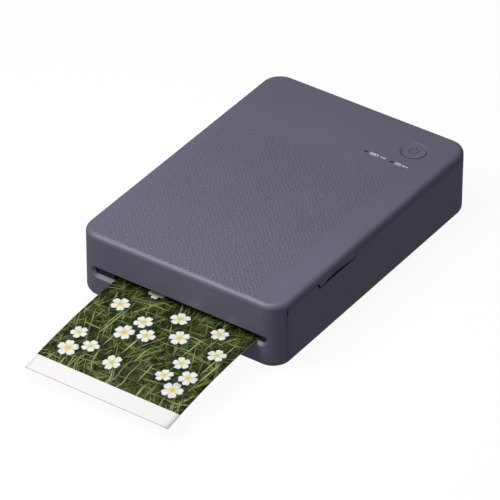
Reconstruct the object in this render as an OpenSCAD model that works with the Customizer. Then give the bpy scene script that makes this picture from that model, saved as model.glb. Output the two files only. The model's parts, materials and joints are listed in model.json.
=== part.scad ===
// Compact photo printer, in millimetres.
// +Z is up and z = 0 is the surface that it stands on. The front face, with the output slot,
// looks along -Y, and the side cover over the ink cassette is at +X. X and Y are centred on the case.

/* [Case] */
// Width of the case, left to right
body_w = 102.2; // [98:0.1:112]
// Depth of the case, front to rear
body_d = 145.8; // [142:0.1:160]
// Height from the table to the top face
body_h = 32.9; // [32:0.1:40]
// Radius of the upright corners
corner_r = 9.0; // [7:0.5:12]
// Radius along the top edge
top_r = 2.4; // [1.9:0.1:3]
// Radius along the bottom edge
bottom_r = 3.4; // [2.8:0.1:3.8]
// Wall of the lower case and of the side cover
wall = 1.8; // [1.4:0.1:2]
// Height of the top cover's side, down to the seam
cover_h = 3.3; // [2.9:0.1:5]
// How far the rubber feet stand proud
foot_h = 0.8; // [0.4:0.1:2]

/* [Output slot] */
// Case left beside each end of the slot
slot_side = 6.3; // [5:0.1:12]
// Sideways place of the slot's middle
slot_x = 0.5; // [-1:0.1:1]
// Height of the slot behind its bevel
slot_h = 4.1; // [3:0.1:5]
// Depth of the bevel along the slot's lower edge
slot_bevel = 1.3; // [0.6:0.1:1.5]

/* [Side cover] */
// Case left in front of the side cover, and behind it
door_side = 6.3; // [5.5:0.1:12]
// Gap around the side cover
door_gap = 0.25; // [0.15:0.05:0.4]
// Sideways reach of the cover's lip under the case
lip_w = 1.6; // [1:0.1:2]
// Front end of the finger recess, from the front face
grip_front = 30.6; // [22:0.1:45]
// Length of the finger recess along its lower edge
grip_len = 25.0; // [15:0.5:35]
// Depth of the finger recess below the seam
grip_drop = 2.5; // [1.5:0.1:4]
// Radius of the scoop in the finger recess, up and down
scoop_r = 12; // [8:0.5:16]
// Depth of the scoop
scoop_depth = 0.8; // [0.5:0.1:1.6]
// Gap between the side cover and the recess, beyond the gap around the cover
grip_gap = 0.35; // [0:0.05:0.6]
// Diameter of the cover's hinge pins
hinge_d = 1.6; // [1.2:0.1:2]

/* [Controls] */
// Diameter of the power button
button_d = 10.7; // [8:0.1:13]
// Middle of the power button, from the right side
button_side = 17.9; // [15:0.1:30]
// Middle of the power button, from the rear
button_rear = 17.8; // [16:0.1:22]
// Travel of the power button
button_travel = 0.4; // [0.2:0.05:0.6]
// Width of the dished ring around the button
dish_w = 0.9; // [0.5:0.1:1.5]
// Length of a lamp window
lamp_len = 2.3; // [1.5:0.1:3]
// Width of a lamp window
lamp_w = 1.0; // [0.6:0.1:1.4]

/* [Paper] */
// Case to the left of the sheets, where the gears are
gear_side = 18.5; // [18.4:0.1:22]
// Case to the right of the sheets, where the cassette goes in
cassette_side = 11.7; // [11.6:0.1:14]
// Case in front of the stack, where the rollers are
roller_front = 50.9; // [50.5:0.1:52]
// Case behind the stack
stack_rear = 9.9; // [9.8:0.1:14]
// Thickness of a sheet
sheet_t = 0.25; // [0.2:0.01:0.4]
// Height of the stack of blank sheets
stack_h = 2.4; // [0.6:0.1:3]
// Length of the finished print that is still in the case
sheet_held = 23.0; // [14:0.5:23]
// Droop of the finished print at its outer end
sheet_droop = 6.2; // [0:0.1:8]

/* [Mechanism] */
// Height of the paper path above the floor of the case
path_rise = 10.3; // [10:0.1:10.6]
// Gear module
gear_m = 0.6; // [0.6:0.05:0.6]
// Diameter of the platen roller
platen_d = 9.0; // [7.5:0.1:9]
// Diameter of the capstan and eject rollers
drive_d = 5.0; // [4.4:0.1:5]
// Diameter of the pinch rollers
pinch_d = 3.0; // [2.4:0.1:3]
// Diameter of the pick-up roller
pickup_d = 9.0; // [8:0.1:9]
// Diameter of the roller shafts
shaft_d = 3.0; // [2.4:0.1:3]
// Room above the cassette's tubes
tube_over = 1.6; // [1.5:0.1:2]
// Room round the full ribbon roll, inside its tube
supply_room = 0.3; // [0.2:0.1:1.5]
// Diameter of the used ribbon roll
used_d = 6.25; // [6.2:0.05:9]
// Thickness of the side plates
plate_t = 1.0; // [0.8:0.1:1.2]
// Face width of the gears
gear_face = 4.0; // [3:0.1:4.5]

/* [Power] */
// Battery tray left beside the battery pack, left and right together
battery_beside = 27.0; // [25:0.5:35]
// Battery tray left in front of the battery pack and behind it, together
battery_around = 7.0; // [5:0.5:20]
// Room between the battery pack and the board
battery_over = 2.0; // [1:0.1:3]
// Thickness of the main board
board_t = 1.2; // [0.8:0.1:1.6]
// Width of the charging port's shell
port_w = 8.9; // [8:0.1:9.2]
// Height of the charging port's shell
port_h = 3.2; // [3:0.1:3.5]

/* [Hidden] */
$fn = 48;

fit = 0.05;                          // running clearance on a radius
seat = 0.02;                         // clearance where a piece is fixed in another
half_w = body_w / 2;
half_d = body_d / 2;
base_z = foot_h;                     // underside of the case
floor_z = base_z + wall;             // inside of the floor
seam_z = body_h - cover_h;
ceiling_z = body_h - wall;
front_in = -half_d + wall;           // inside of the front wall
rear_in = half_d - wall;
path_z = floor_z + path_rise;
paper_w = body_w - gear_side - cassette_side;
paper_l = body_d - roller_front - stack_rear;
paper_x = (gear_side - cassette_side) / 2;
sheet_out = paper_l - sheet_held;

slot_w = body_w - 2 * slot_side;
slot_low = path_z - 0.1;
slot_top = slot_low + slot_h;
slot_round = 2.0;

// Side cover: it turns about the middle of the bottom edge's rounding
door_end = half_d - door_side;
hinge_x = half_w - bottom_r;
hinge_z = base_z + bottom_r;
hinge_r = hinge_d / 2;
knuckle_r = 2.3;
knuckle_len = 5.0;
pin_seat = 2.2;                      // length of a pin in the case
lip_sweep = sqrt(pow(lip_w, 2) + pow(bottom_r, 2));
grip_slant = 2.3;
grip_chamfer = 0.4;
tab_t = wall + 0.9;
grip_y = -half_d + grip_front;
skirt_in = wall + 0.15;              // outside of the case to the top cover's skirt
skirt_t = 0.9;
skirt_drop = 1.4;                    // reach of the skirt below the seam

// Paper cover in the floor
rail_t = 0.9;
rail_gap = 0.3;
hatch_gap = 0.3;
hatch_x0 = paper_x - paper_w / 2 - rail_gap - rail_t - 0.2;
hatch_x1 = paper_x + paper_w / 2 + rail_gap + rail_t + 0.2;
cover_y = half_d - stack_rear;       // hinge axis of the paper cover
stack_y1 = cover_y;                  // rear end of the stack
stack_y0 = stack_y1 - paper_l;
hatch_y0 = stack_y0 - 2.0;
cover_t = wall - 0.2;
cover_knuckle = 1.5;
cover_z = base_z + cover_knuckle;
cover_pin_r = 0.7;
press_t = 0.6;
press_z = path_z - 4.4 - stack_h - press_t;   // underside of the press plate
stack_z = press_z + press_t;
stack_top = stack_z + stack_h;

// Side plates, with the gears outside the left one
plate_left = paper_x - paper_w / 2 - 3.4;         // inner face of the left plate
plate_right = paper_x + paper_w / 2 + 2.6;        // inner face of the right plate
plate_y0 = front_in + 1.1;
plate_l = 74.0;
plate_y1 = plate_y0 + plate_l;
plate_foot = 8.0;                                 // length of a plate's foot on the floor
plate_z0 = floor_z + 0.2;
plate_z1 = ceiling_z - 0.3;
gear_x1 = plate_left - plate_t - 1.2;             // inner face of the gears
gear_x0 = gear_x1 - gear_face;
shaft_r = shaft_d / 2;
bush_r = shaft_r + 0.7;
pinch_shaft_r = 0.9;
pinch_bush_r = pinch_shaft_r + 0.6;
roll_x0 = plate_left + 2.4;                       // ends of the long rollers
roll_x1 = plate_right - 1.6;

// Gear train: tooth counts
drive_teeth = 16;
transfer_teeth = 20;
ribbon_teeth = 14;
takeup_teeth = 20;
first_teeth = 24;
second_teeth = 20;
pickup_teeth = 16;
pinion_teeth = 12;
pressure_angle = 25;
backlash = 0.06;                                  // off each flank, at the pitch circle

// Places along the paper path as [y, z]
paper_gap = 0.12;
platen_at = [-half_d + 30.9, path_z - paper_gap - platen_d / 2];
capstan_at = [platen_at[0] + 9.5, path_z - paper_gap - drive_d / 2];
eject_at = [platen_at[0] - 9.5, path_z - paper_gap - drive_d / 2];
pinch_z = path_z + sheet_t + paper_gap + pinch_d / 2;
capstan_pinch_at = [capstan_at[0], pinch_z];
eject_pinch_at = [eject_at[0], pinch_z];
pickup_at = [stack_y0 + 9, stack_top + paper_gap + pickup_d / 2];
tube_under = 2.2;                                 // paper path to the cassette's tubes
tube_d = ceiling_z - tube_over - path_z - tube_under;
takeup_at = [front_in + 1.9 + tube_d / 2, path_z + tube_under + tube_d / 2];
supply_at = [platen_at[0] + 20, takeup_at[1]];
head_pivot_at = [platen_at[0] + 7, ceiling_z - 4.1];
head_z = path_z + sheet_t + 0.1;                  // underside of the head's glaze
nip_len = 10;                                     // length of an eject or pinch roller
nip_x = [for (side = [-1:1]) paper_x + side * (paper_w / 2 - 11)];

function pitch_r(teeth) = gear_m * teeth / 2;
function apart(a, b) = norm([b[0] - a[0], b[1] - a[1]]);
function heading(a, b) = atan2(b[1] - a[1], b[0] - a[0]);
function beyond(a, r, angle) = [a[0] + r * cos(angle), a[1] + r * sin(angle)];
// Third corner of a triangle on a and b, with sides ra and rb; side is +1 or -1
function corner(a, ra, b, rb, side) =
    let (d = apart(a, b), turn = acos((ra * ra + d * d - rb * rb) / (2 * ra * d)))
    beyond(a, ra, heading(a, b) + side * turn);
function mesh_at(a, ta, b, tb, side, teeth) =
    corner(a, pitch_r(ta) + pitch_r(teeth), b, pitch_r(tb) + pitch_r(teeth), side);
// Turn of gear b that meshes it with gear a
function mesh_turn(a, ta, turn_a, b, tb) =
    let (line = heading(a, b)) line + 180 - (180 - ta * (line - turn_a)) / tb;

transfer_at = mesh_at(capstan_at, drive_teeth, eject_at, drive_teeth, -1, transfer_teeth);
ribbon_at = mesh_at(eject_at, drive_teeth, takeup_at, takeup_teeth, 1, ribbon_teeth);
first_at = beyond(capstan_at, pitch_r(drive_teeth) + pitch_r(first_teeth), 60);
second_at = mesh_at(first_at, first_teeth, pickup_at, pickup_teeth, 1, second_teeth);
motor_at = beyond(second_at, pitch_r(second_teeth) + pitch_r(pinion_teeth), -10);

capstan_turn = 0;
transfer_turn = mesh_turn(capstan_at, drive_teeth, capstan_turn, transfer_at, transfer_teeth);
eject_turn = mesh_turn(transfer_at, transfer_teeth, transfer_turn, eject_at, drive_teeth);
ribbon_turn = mesh_turn(eject_at, drive_teeth, eject_turn, ribbon_at, ribbon_teeth);
takeup_turn = mesh_turn(ribbon_at, ribbon_teeth, ribbon_turn, takeup_at, takeup_teeth);
first_turn = mesh_turn(capstan_at, drive_teeth, capstan_turn, first_at, first_teeth);
second_turn = mesh_turn(first_at, first_teeth, first_turn, second_at, second_teeth);
pickup_turn = mesh_turn(second_at, second_teeth, second_turn, pickup_at, pickup_teeth);
motor_turn = mesh_turn(second_at, second_teeth, second_turn, motor_at, pinion_teeth);

// Ink cassette
tube_r = tube_d / 2;
tube_wall = 0.9;
supply_d = tube_d - 2 * (tube_wall + supply_room);
tube_x0 = plate_left + 1.6;
tube_x1 = plate_right - 1.4;
cap_x1 = half_w - wall - 3.1;                     // outer end of the cassette's grip
spool_r = 3.0;
journal_r = 2.0;
spindle_r = 1.5;
film_x0 = roll_x0 + 1.6;
film_x1 = roll_x1 - 1.6;
bridge_z0 = path_z + 4.3;
bridge_h = 3.8;

// Battery, tray and board
tray_z = path_z + 1.5;
tray_t = 1.0;
tray_y0 = plate_y1 + 0.3;
tray_y1 = rear_in - 5.8;
board_x0 = plate_left + 2;
board_x1 = plate_right - 1;
board_z = ceiling_z - 6.5;
battery_x = paper_x + 4;             // middle of the battery
battery_y = (tray_y0 + tray_y1) / 2;
battery_z = tray_z + tray_t + 0.2;
battery_w = board_x1 - board_x0 - battery_beside;
battery_l = tray_y1 - tray_y0 - battery_around;
battery_h = board_z - battery_over - battery_z;
board_y0 = tray_y0 + 1;
board_y1 = tray_y1 - 1;
post_inset = 2.4;
post_r = 2.0;
port_x = board_x0 + 11;
motor_r = 7.5;
motor_len = 22;

// Screws and feet
screw_r = 1.0;
screw_head_r = 1.9;
boss_r = 2.4;
screw_left = half_w - 5.1;
screw_right = half_w - 7.9;
screw_y = half_d - 6.9;
screw_y_right = half_d - 4.9;
foot_w = 2.4;
foot_l = 14;
foot_set = 0.5;
foot_left = half_w - 7.4;
foot_right = (hatch_x1 + hinge_x - lip_sweep) / 2 - 0.1;
foot_y = half_d - 17;

button_x = half_w - button_side;
button_y = half_d - button_rear;
lamp_at = [[button_x - 16.7, button_y - 11.8], [button_x - 3.2, button_y - 12.2]];
hook_y = [plate_y1 - 12, tray_y1 - 15.3];   // snap hooks of the side cover

case_grey = [0.33, 0.32, 0.37];
dark_grey = [0.20, 0.20, 0.23];
steel = [0.70, 0.71, 0.73];
rubber_black = [0.08, 0.08, 0.09];
cream = [0.88, 0.86, 0.80];
board_green = [0.10, 0.32, 0.18];
paper_white = [0.96, 0.96, 0.97];

// ---- shared shapes ----

module block(low, high) {
    translate(low) cube([high[0] - low[0], high[1] - low[1], high[2] - low[2]]);
}

// A rod along X from x0 to x1 at [y, z]
module rod(r, x0, x1, at) {
    translate([x0, at[0], at[1]]) rotate([90, 0, 90]) cylinder(r = r, h = x1 - x0);
}

// A flat shape drawn in [y, z], made solid from x0 to x1
module sheet_yz(x0, x1) {
    translate([x0, 0, 0]) rotate([90, 0, 90]) linear_extrude(x1 - x0) children();
}

// A flat shape drawn in [x, z], made solid from y0 to y1
module sheet_xz(y0, y1) {
    translate([0, y1, 0]) rotate([90, 0, 0]) linear_extrude(y1 - y0) children();
}

// Half section of a slab with rounded lower and upper edges, r wide
module edge_profile(r, z0, z1, rb, rt) {
    union() {
        translate([0, z0 + rb]) square([r, z1 - rt - z0 - rb]);
        if (rb > 0) {
            translate([0, z0]) square([r - rb, rb]);
            intersection() {
                translate([r - rb, z0 + rb]) circle(r = rb);
                translate([r - rb, z0]) square([rb, rb]);
            }
        }
        if (rt > 0) {
            translate([0, z1 - rt]) square([r - rt, rt]);
            intersection() {
                translate([r - rt, z1 - rt]) circle(r = rt);
                translate([r - rt, z1 - rt]) square([rt, rt]);
            }
        }
    }
}

// Slab with upright corners of radius r and rounded lower and upper edges
module rounded_slab(w, d, r, z0, z1, rb = 0, rt = 0) {
    union() {
        translate([-w / 2 + r, -d / 2 + r, z0]) cube([w - 2 * r, d - 2 * r, z1 - z0]);
        for (quarter = [0:3]) rotate([0, 0, 90 * quarter]) {
            hx = (quarter % 2 == 0 ? w : d) / 2 - r;
            hy = (quarter % 2 == 0 ? d : w) / 2 - r;
            translate([hx, hy, 0]) rotate_extrude(angle = 90) edge_profile(r, z0, z1, rb, rt);
            translate([hx, hy, 0]) rotate([90, 0, 0]) linear_extrude(2 * hy)
                edge_profile(r, z0, z1, rb, rt);
        }
    }
}

module case_outside(z1) {
    rounded_slab(body_w, body_d, corner_r, base_z, z1, bottom_r, 0);
}

module case_inside(z1) {
    rounded_slab(body_w - 2 * wall, body_d - 2 * wall, corner_r - wall, floor_z, z1,
        bottom_r - wall, 0);
}

// A slot shape with round ends, w long and h high, around the origin
module round_ended(w, h) {
    union() {
        square([w - h, h], center = true);
        for (side = [-1, 1]) translate([side * (w - h) / 2, 0]) circle(d = h);
    }
}

function roll(r, base) = sqrt(max(0, pow(r / base, 2) - 1));
function swing(r, base) = roll(r, base) * 180 / PI - atan(roll(r, base));
function half_tooth(teeth, r) =
    let (p = pitch_r(teeth), base = p * cos(pressure_angle))
    90 / teeth - backlash / p * 180 / PI + swing(p, base) - swing(max(r, base), base);

// Involute gear, drawn flat with a tooth at the angle turn
module gear_shape(teeth, turn) {
    root = pitch_r(teeth) - 1.25 * gear_m;
    tip = pitch_r(teeth) + gear_m;
    low = max(pitch_r(teeth) * cos(pressure_angle), root + 0.03);
    radii = [root, low, (low + tip) / 2, tip];
    polygon([
        for (k = [0:teeth - 1])
            for (side = [-1, 1])
                for (i = [0:3])
                    let (r = radii[side < 0 ? i : 3 - i],
                         a = turn + 360 * k / teeth + side * half_tooth(teeth, r))
                    [r * cos(a), r * sin(a)]
    ]);
}

// A gear of the train, with the bore that its shaft needs
module train_gear(at, teeth, turn, bore_r) {
    hub_r = min(pitch_r(teeth) - 1.25 * gear_m, bore_r + 1.1);
    difference() {
        union() {
            translate([gear_x0, at[0], at[1]]) rotate([90, 0, 90])
                linear_extrude(gear_face) gear_shape(teeth, turn);
            rod(hub_r, gear_x0, gear_x1 + 0.7, at);
        }
        rod(bore_r, gear_x0 - 1, gear_x1 + 2, at);
    }
}

// ---- case ----

module slot_cut() {
    mid_z = slot_low + slot_round;
    outer_r = slot_round + slot_bevel;
    reach = slot_w / 2 - outer_r;
    intersection() {
        union() {
            translate([slot_x - reach - slot_bevel, -half_d - 1, slot_low])
                cube([2 * (reach + slot_bevel), wall + 3, slot_h]);
            for (side = [-1, 1]) translate([slot_x + side * reach, -half_d, mid_z]) {
                rotate([-90, 0, 0]) cylinder(r1 = outer_r, r2 = slot_round, h = slot_bevel);
                rotate([-90, 0, 0]) cylinder(r = slot_round, h = wall + 1);
            }
            sheet_yz(slot_x - reach, slot_x + reach) polygon([
                [-half_d - 1, slot_low - slot_bevel - 1], [-half_d + slot_bevel, slot_low],
                [-half_d + slot_bevel, slot_top], [-half_d - 1, slot_top]
            ]);
        }
        block([-half_w, -half_d - 2, slot_low - slot_bevel], [half_w, front_in + 1, slot_top]);
    }
}

// Everything of the lower case's right side that belongs to the side cover
module door_cut() {
    block([hinge_x - lip_w - door_gap, -door_end, base_z - 1], [half_w + 1, door_end, seam_z + 1]);
}

module screw_places(z) {
    for (side = [-1, 1]) translate([-screw_left, side * screw_y, z]) children();
    translate([screw_right, screw_y_right, z]) children();
}

module foot_places() {
    for (y = [-foot_y, foot_y]) {
        translate([-foot_left, y, 0]) children();
        translate([foot_right, y, 0]) children();
    }
}

module foot_shape(gap) { rotate(90) round_ended(foot_l - 2 * gap, foot_w - 2 * gap); }

module lower_case() {
    color(case_grey) difference() {
        union() {
            difference() {
                case_outside(seam_z);
                case_inside(seam_z + 1);
                door_cut();
            }
            // Solid corners that hold the side cover's hinge pins
            intersection() {
                case_outside(seam_z);
                for (side = [-1, 1])
                    translate([0, side * (door_end + pin_seat / 2 + 0.3), 0])
                        block([hinge_x - 3.2, -pin_seat / 2 - 0.3, base_z],
                              [half_w, pin_seat / 2 + 0.3, hinge_z + 2.6]);
            }
            screw_places(floor_z - 0.5) cylinder(r = boss_r, h = seam_z - floor_z + 0.5);
            // Ears that hold the paper cover's pins
            for (x = [hatch_x0 - hatch_gap - 2, hatch_x1 + hatch_gap])
                rod(cover_knuckle + 0.7, x, x + 2, [cover_y, cover_z]);
        }
        slot_cut();
        // Room for the side cover's lip as it turns
        rotate([90, 0, 0]) translate([hinge_x, hinge_z, -door_end])
            cylinder(r = lip_sweep + door_gap, h = 2 * door_end);
        // Hinge pin seats
        for (side = [-1, 1])
            translate([hinge_x, side * (door_end + pin_seat / 2), hinge_z]) rotate([90, 0, 0])
                cylinder(r = hinge_r + seat, h = pin_seat + 2 * fit, center = true);
        // Paper cover's opening, its knuckle and its pins
        block([hatch_x0 - hatch_gap, hatch_y0 - hatch_gap, base_z - 1],
              [hatch_x1 + hatch_gap, cover_y + cover_knuckle + hatch_gap, floor_z + 4]);
        rod(cover_pin_r + seat, hatch_x0 - hatch_gap - 1.8, hatch_x0, [cover_y, cover_z]);
        rod(cover_pin_r + seat, hatch_x1, hatch_x1 + hatch_gap + 1.8, [cover_y, cover_z]);
        // Screw holes with sunk heads, and pockets for the feet
        screw_places(base_z - 1) cylinder(r = screw_r + 0.15, h = body_h);
        screw_places(base_z - 1) cylinder(r = screw_head_r + 0.15, h = 1 + wall + 0.8);
        translate([0, 0, base_z - 1]) foot_places() linear_extrude(1 + foot_set) foot_shape(0);
        // Charging port
        sheet_xz(rear_in - 1, half_d + 1) translate([port_x, board_z - port_h / 2 - 0.1])
            round_ended(port_w + 0.4, port_h + 0.4);
    }
}

// Flat shape of the finger recess, in [y, z], grown by a gap
module grip_shape(gap) {
    low = seam_z - grip_drop - gap;
    y1 = grip_y + grip_len;
    polygon([
        [grip_y - gap, low], [y1 + gap, low],
        [y1 + grip_slant + gap, seam_z + 1], [grip_y - grip_slant - gap, seam_z + 1]
    ]);
}

// Hollow that lets a fingertip reach the side cover's edge. It is part of a wide ring, so that it
// runs out softly at both ends.
module grip_scoop() {
    half_len = grip_len / 2 - 1.2;
    ring_r = (pow(half_len, 2) + pow(scoop_depth, 2)) / (2 * scoop_depth);
    translate([half_w - scoop_depth + ring_r, grip_y + grip_len / 2, seam_z - grip_drop])
        rotate([0, 0, 150]) rotate_extrude(angle = 60, $fn = 240)
            translate([ring_r - scoop_r, 0]) circle(r = scoop_r);
}

module top_cover() {
    ring_r = button_d / 2 + 0.25 + dish_w;
    dish_r = 6;
    color(case_grey) difference() {
        union() {
            difference() {
                rounded_slab(body_w, body_d, corner_r, seam_z, body_h, 0, top_r);
                rounded_slab(body_w - 2 * wall, body_d - 2 * wall, corner_r - wall, seam_z - 1,
                    ceiling_z, 0, max(0.1, top_r - wall));
            }
            // Skirt that locates the cover inside the lower case
            difference() {
                rounded_slab(body_w - 2 * skirt_in, body_d - 2 * skirt_in, corner_r - skirt_in,
                    seam_z - skirt_drop, ceiling_z + 0.2);
                rounded_slab(body_w - 2 * (skirt_in + skirt_t), body_d - 2 * (skirt_in + skirt_t),
                    corner_r - skirt_in - skirt_t, seam_z - 2, ceiling_z + 1);
                block([screw_right - 4, -half_d, seam_z - 3], [half_w, half_d, ceiling_z + 1]);
                screw_places(seam_z - 3) cylinder(r = boss_r + 0.15, h = 3);
            }
            // Tab that closes the finger recess
            intersection() {
                sheet_yz(half_w - tab_t, half_w) grip_shape(0);
                block([0, -half_d, 0], [half_w, half_d, seam_z + 0.6]);
            }
            // Screw bosses
            screw_places(seam_z) cylinder(r = boss_r, h = ceiling_z - seam_z + 0.3);
            // Guide collar of the power button
            translate([button_x, button_y, ceiling_z - 1.6])
                cylinder(r = button_d / 2 + 1.4, h = 1.8);
        }
        grip_scoop();
        screw_places(seam_z - 1) cylinder(r = screw_r - 0.1, h = ceiling_z - seam_z + 0.8);
        // Power button's hole, and the dished ring around it
        translate([button_x, button_y, ceiling_z - 3]) cylinder(r = button_d / 2 + 0.25, h = 6);
        translate([button_x, button_y, ceiling_z - 3]) cylinder(r = button_d / 2 + 0.75, h = 2.4);
        translate([button_x, button_y, body_h - 0.35])
            cylinder(r1 = button_d / 2 + 0.25, r2 = ring_r + 0.1, h = 0.45);
        // Lamp windows
        for (at = lamp_at) translate([at[0], at[1], ceiling_z - 1])
            linear_extrude(wall + 2) round_ended(lamp_len + 0.1, lamp_w + 0.1);
    }
}

module rubber_feet() {
    color(rubber_black) foot_places() linear_extrude(foot_h + foot_set - seat) foot_shape(0.1);
}

module case_screws() {
    head_z = base_z + wall + 0.8;
    color(steel) difference() {
        union() {
            screw_places(head_z - 1.4) cylinder(r = screw_head_r, h = 1.4);
            screw_places(head_z - 0.2) cylinder(r = screw_r - 0.12, h = seam_z + 1.2 - head_z);
        }
        // Cross recess
        screw_places(head_z - 1.5) for (turn = [0, 90])
            rotate(turn) translate([-1.1, -0.25, 0]) cube([2.2, 0.5, 0.8]);
    }
}

// ---- side cover over the ink cassette ----

module cassette_door() {
    end = door_end - door_gap;
    inner_x = half_w - wall;
    top = seam_z - door_gap;
    color(case_grey) difference() {
        union() {
            intersection() {
                difference() {
                    case_outside(seam_z);
                    case_inside(seam_z + 1);
                }
                block([hinge_x - lip_w, -end, base_z - 1], [half_w + 1, end, top]);
            }
            // Knuckles at both ends, on webs from the cover's inside
            for (side = [-1, 1]) translate([hinge_x, side * (end - 1.2 - knuckle_len / 2), hinge_z])
                rotate([90, 0, 0]) cylinder(r = knuckle_r, h = knuckle_len, center = true);
            // Stiffening ribs
            for (i = [-2:2]) translate([0, i * end * 0.3, 0])
                block([inner_x - 0.9, -0.5, hinge_z + 4], [inner_x + 0.2, 0.5, seam_z - 6]);
            block([inner_x - 0.9, -end + 3.5, seam_z - 6], [inner_x + 0.2, end - 3.5, seam_z - 5]);
            // Snap hooks that catch under the bars of hook_bar()
            for (y = hook_y) {
                block([inner_x - 3.2, y - 2, seam_z - 9], [inner_x + 0.2, y + 2, seam_z - 8]);
                block([inner_x - 3.2, y - 2, seam_z - 9], [inner_x - 2.4, y + 2, seam_z - 7.4]);
            }
        }
        sheet_yz(inner_x - 2, half_w + 1) grip_shape(door_gap + grip_gap);
        // Small chamfer on the edge that a fingertip catches
        hull() {
            sheet_yz(half_w - grip_chamfer, half_w - grip_chamfer + 0.01)
                grip_shape(door_gap + grip_gap);
            sheet_yz(half_w, half_w + 1) grip_shape(door_gap + grip_gap + grip_chamfer);
        }
        for (side = [-1, 1]) translate([hinge_x, side * (end - 1.2 - knuckle_len / 2), hinge_z])
            rotate([90, 0, 0]) cylinder(r = hinge_r + fit, h = knuckle_len + 4, center = true);
    }
}

// Bar that a hook of the side cover snaps under, on an arm from the inside
module hook_bar(y, from_x) {
    block([from_x, y - 3, seam_z - 7.2], [half_w - wall - 2, y + 3, seam_z - 6.2]);
}

module door_hinge_pins() {
    pin_in = door_end - door_gap - 1.2 - knuckle_len + 0.4;
    pin_out = door_end + pin_seat - 0.1;
    color(steel) for (side = [-1, 1])
        translate([hinge_x, side * (pin_in + pin_out) / 2, hinge_z]) rotate([90, 0, 0])
            cylinder(r = hinge_r, h = pin_out - pin_in, center = true);
}

// ---- paper cover, with the stack that lies on it ----

module paper_cover() {
    rail_x0 = paper_x - paper_w / 2 - rail_gap - rail_t;
    rail_x1 = paper_x + paper_w / 2 + rail_gap;
    color(case_grey) difference() {
        union() {
            sheet_yz(hatch_x0, hatch_x1) union() {
                translate([hatch_y0, base_z]) square([cover_y - hatch_y0, cover_t]);
                translate([cover_y, cover_z]) circle(r = cover_knuckle);
            }
            for (x = [rail_x0, rail_x1]) block([x, stack_y0 + 3, base_z + 0.5],
                [x + rail_t, cover_y - 8, stack_z + min(stack_h, 1.6)]);
        }
        rod(cover_pin_r + fit, hatch_x0 - 1, hatch_x0 + 5, [cover_y, cover_z]);
        rod(cover_pin_r + fit, hatch_x1 - 5, hatch_x1 + 1, [cover_y, cover_z]);
        // Thumb recess in the outside
        translate([paper_x, hatch_y0 + 7, base_z - 8.1]) sphere(r = 9, $fn = 64);
    }
}

module paper_cover_pins() {
    color(steel) {
        rod(cover_pin_r, hatch_x0 - hatch_gap - 1.7, hatch_x0 + 4.5, [cover_y, cover_z]);
        rod(cover_pin_r, hatch_x1 - 4.5, hatch_x1 + hatch_gap + 1.7, [cover_y, cover_z]);
    }
}

module press_plate() {
    edge = 3;
    color(steel) difference() {
        block([paper_x - paper_w / 2 + 0.5, stack_y0 + 1, press_z],
              [paper_x + paper_w / 2 - 0.5, stack_y1 - 8, press_z + press_t]);
        for (side = [-1, 1]) translate([paper_x + side * 20, (stack_y0 + stack_y1) / 2, press_z - 1])
            linear_extrude(3) round_ended(16, edge * 2);
    }
}

module press_springs() {
    low = base_z + cover_t;
    strip = 0.3;
    color(steel) for (x = [paper_x - 22, paper_x + 16])
        sheet_yz(x, x + 6) polygon([
            [stack_y0 + 6, low], [stack_y0 + 12, low], [stack_y0 + 18, press_z - strip],
            [stack_y0 + 22, press_z - strip], [stack_y0 + 28, low], [stack_y0 + 34, low],
            [stack_y0 + 34, low + strip], [stack_y0 + 28.2, low + strip],
            [stack_y0 + 22.2, press_z], [stack_y0 + 17.8, press_z],
            [stack_y0 + 11.8, low + strip], [stack_y0 + 6, low + strip]
        ]);
}

module paper_stack() {
    color(paper_white) block([paper_x - paper_w / 2, stack_y0, stack_z],
        [paper_x + paper_w / 2, stack_y1 - 0.4, stack_top]);
}

// ---- controls and electronics ----

module power_button() {
    ring = 0.35;
    color(case_grey) difference() {
        union() {
            translate([button_x, button_y, ceiling_z - 0.8])
                cylinder(r = button_d / 2, h = body_h - 0.1 - ceiling_z + 0.8);
            translate([button_x, button_y, ceiling_z - 1.4]) cylinder(r = button_d / 2 + 0.6, h = 0.7);
            translate([button_x, button_y, board_z + board_t + 2.1 + button_travel + 0.1])
                cylinder(r = 1.5, h = ceiling_z - 1 - board_z - board_t - 2.1 - button_travel);
        }
        // Power symbol: a broken ring and a bar
        translate([button_x, button_y, body_h - 0.3]) {
            difference() {
                cylinder(r = 2.2, h = 1);
                translate([0, 0, -1]) cylinder(r = 2.2 - ring, h = 3);
                translate([-0.8, 0, -1]) cube([1.6, 3, 3]);
            }
            translate([-ring / 2, 0.6, 0]) cube([ring, 2.0, 1]);
        }
    }
}

module power_switch() {
    z = board_z + board_t;
    side = 4.5;
    color(dark_grey) translate([button_x, button_y, z]) union() {
        block([-side / 2, -side / 2, 0], [side / 2, side / 2, 1.5]);
        translate([0, 0, 1.4]) cylinder(r = 1.2, h = 0.6);
    }
}

module lamp_windows() {
    z = board_z + board_t + 1.2;
    color([0.9, 0.9, 0.92]) for (at = lamp_at) translate([at[0], at[1], 0]) {
        translate([0, 0, z]) linear_extrude(body_h - 0.05 - z) round_ended(lamp_len, lamp_w);
        translate([0, 0, ceiling_z - 0.8]) linear_extrude(0.7) round_ended(lamp_len + 1.6, lamp_w + 1.6);
    }
}

module board_posts(z) {
    for (x = [board_x0 + post_inset, board_x1 - post_inset])
        for (y = [board_y0 + post_inset, board_y1 - post_inset]) translate([x, y, z]) children();
}

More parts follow.
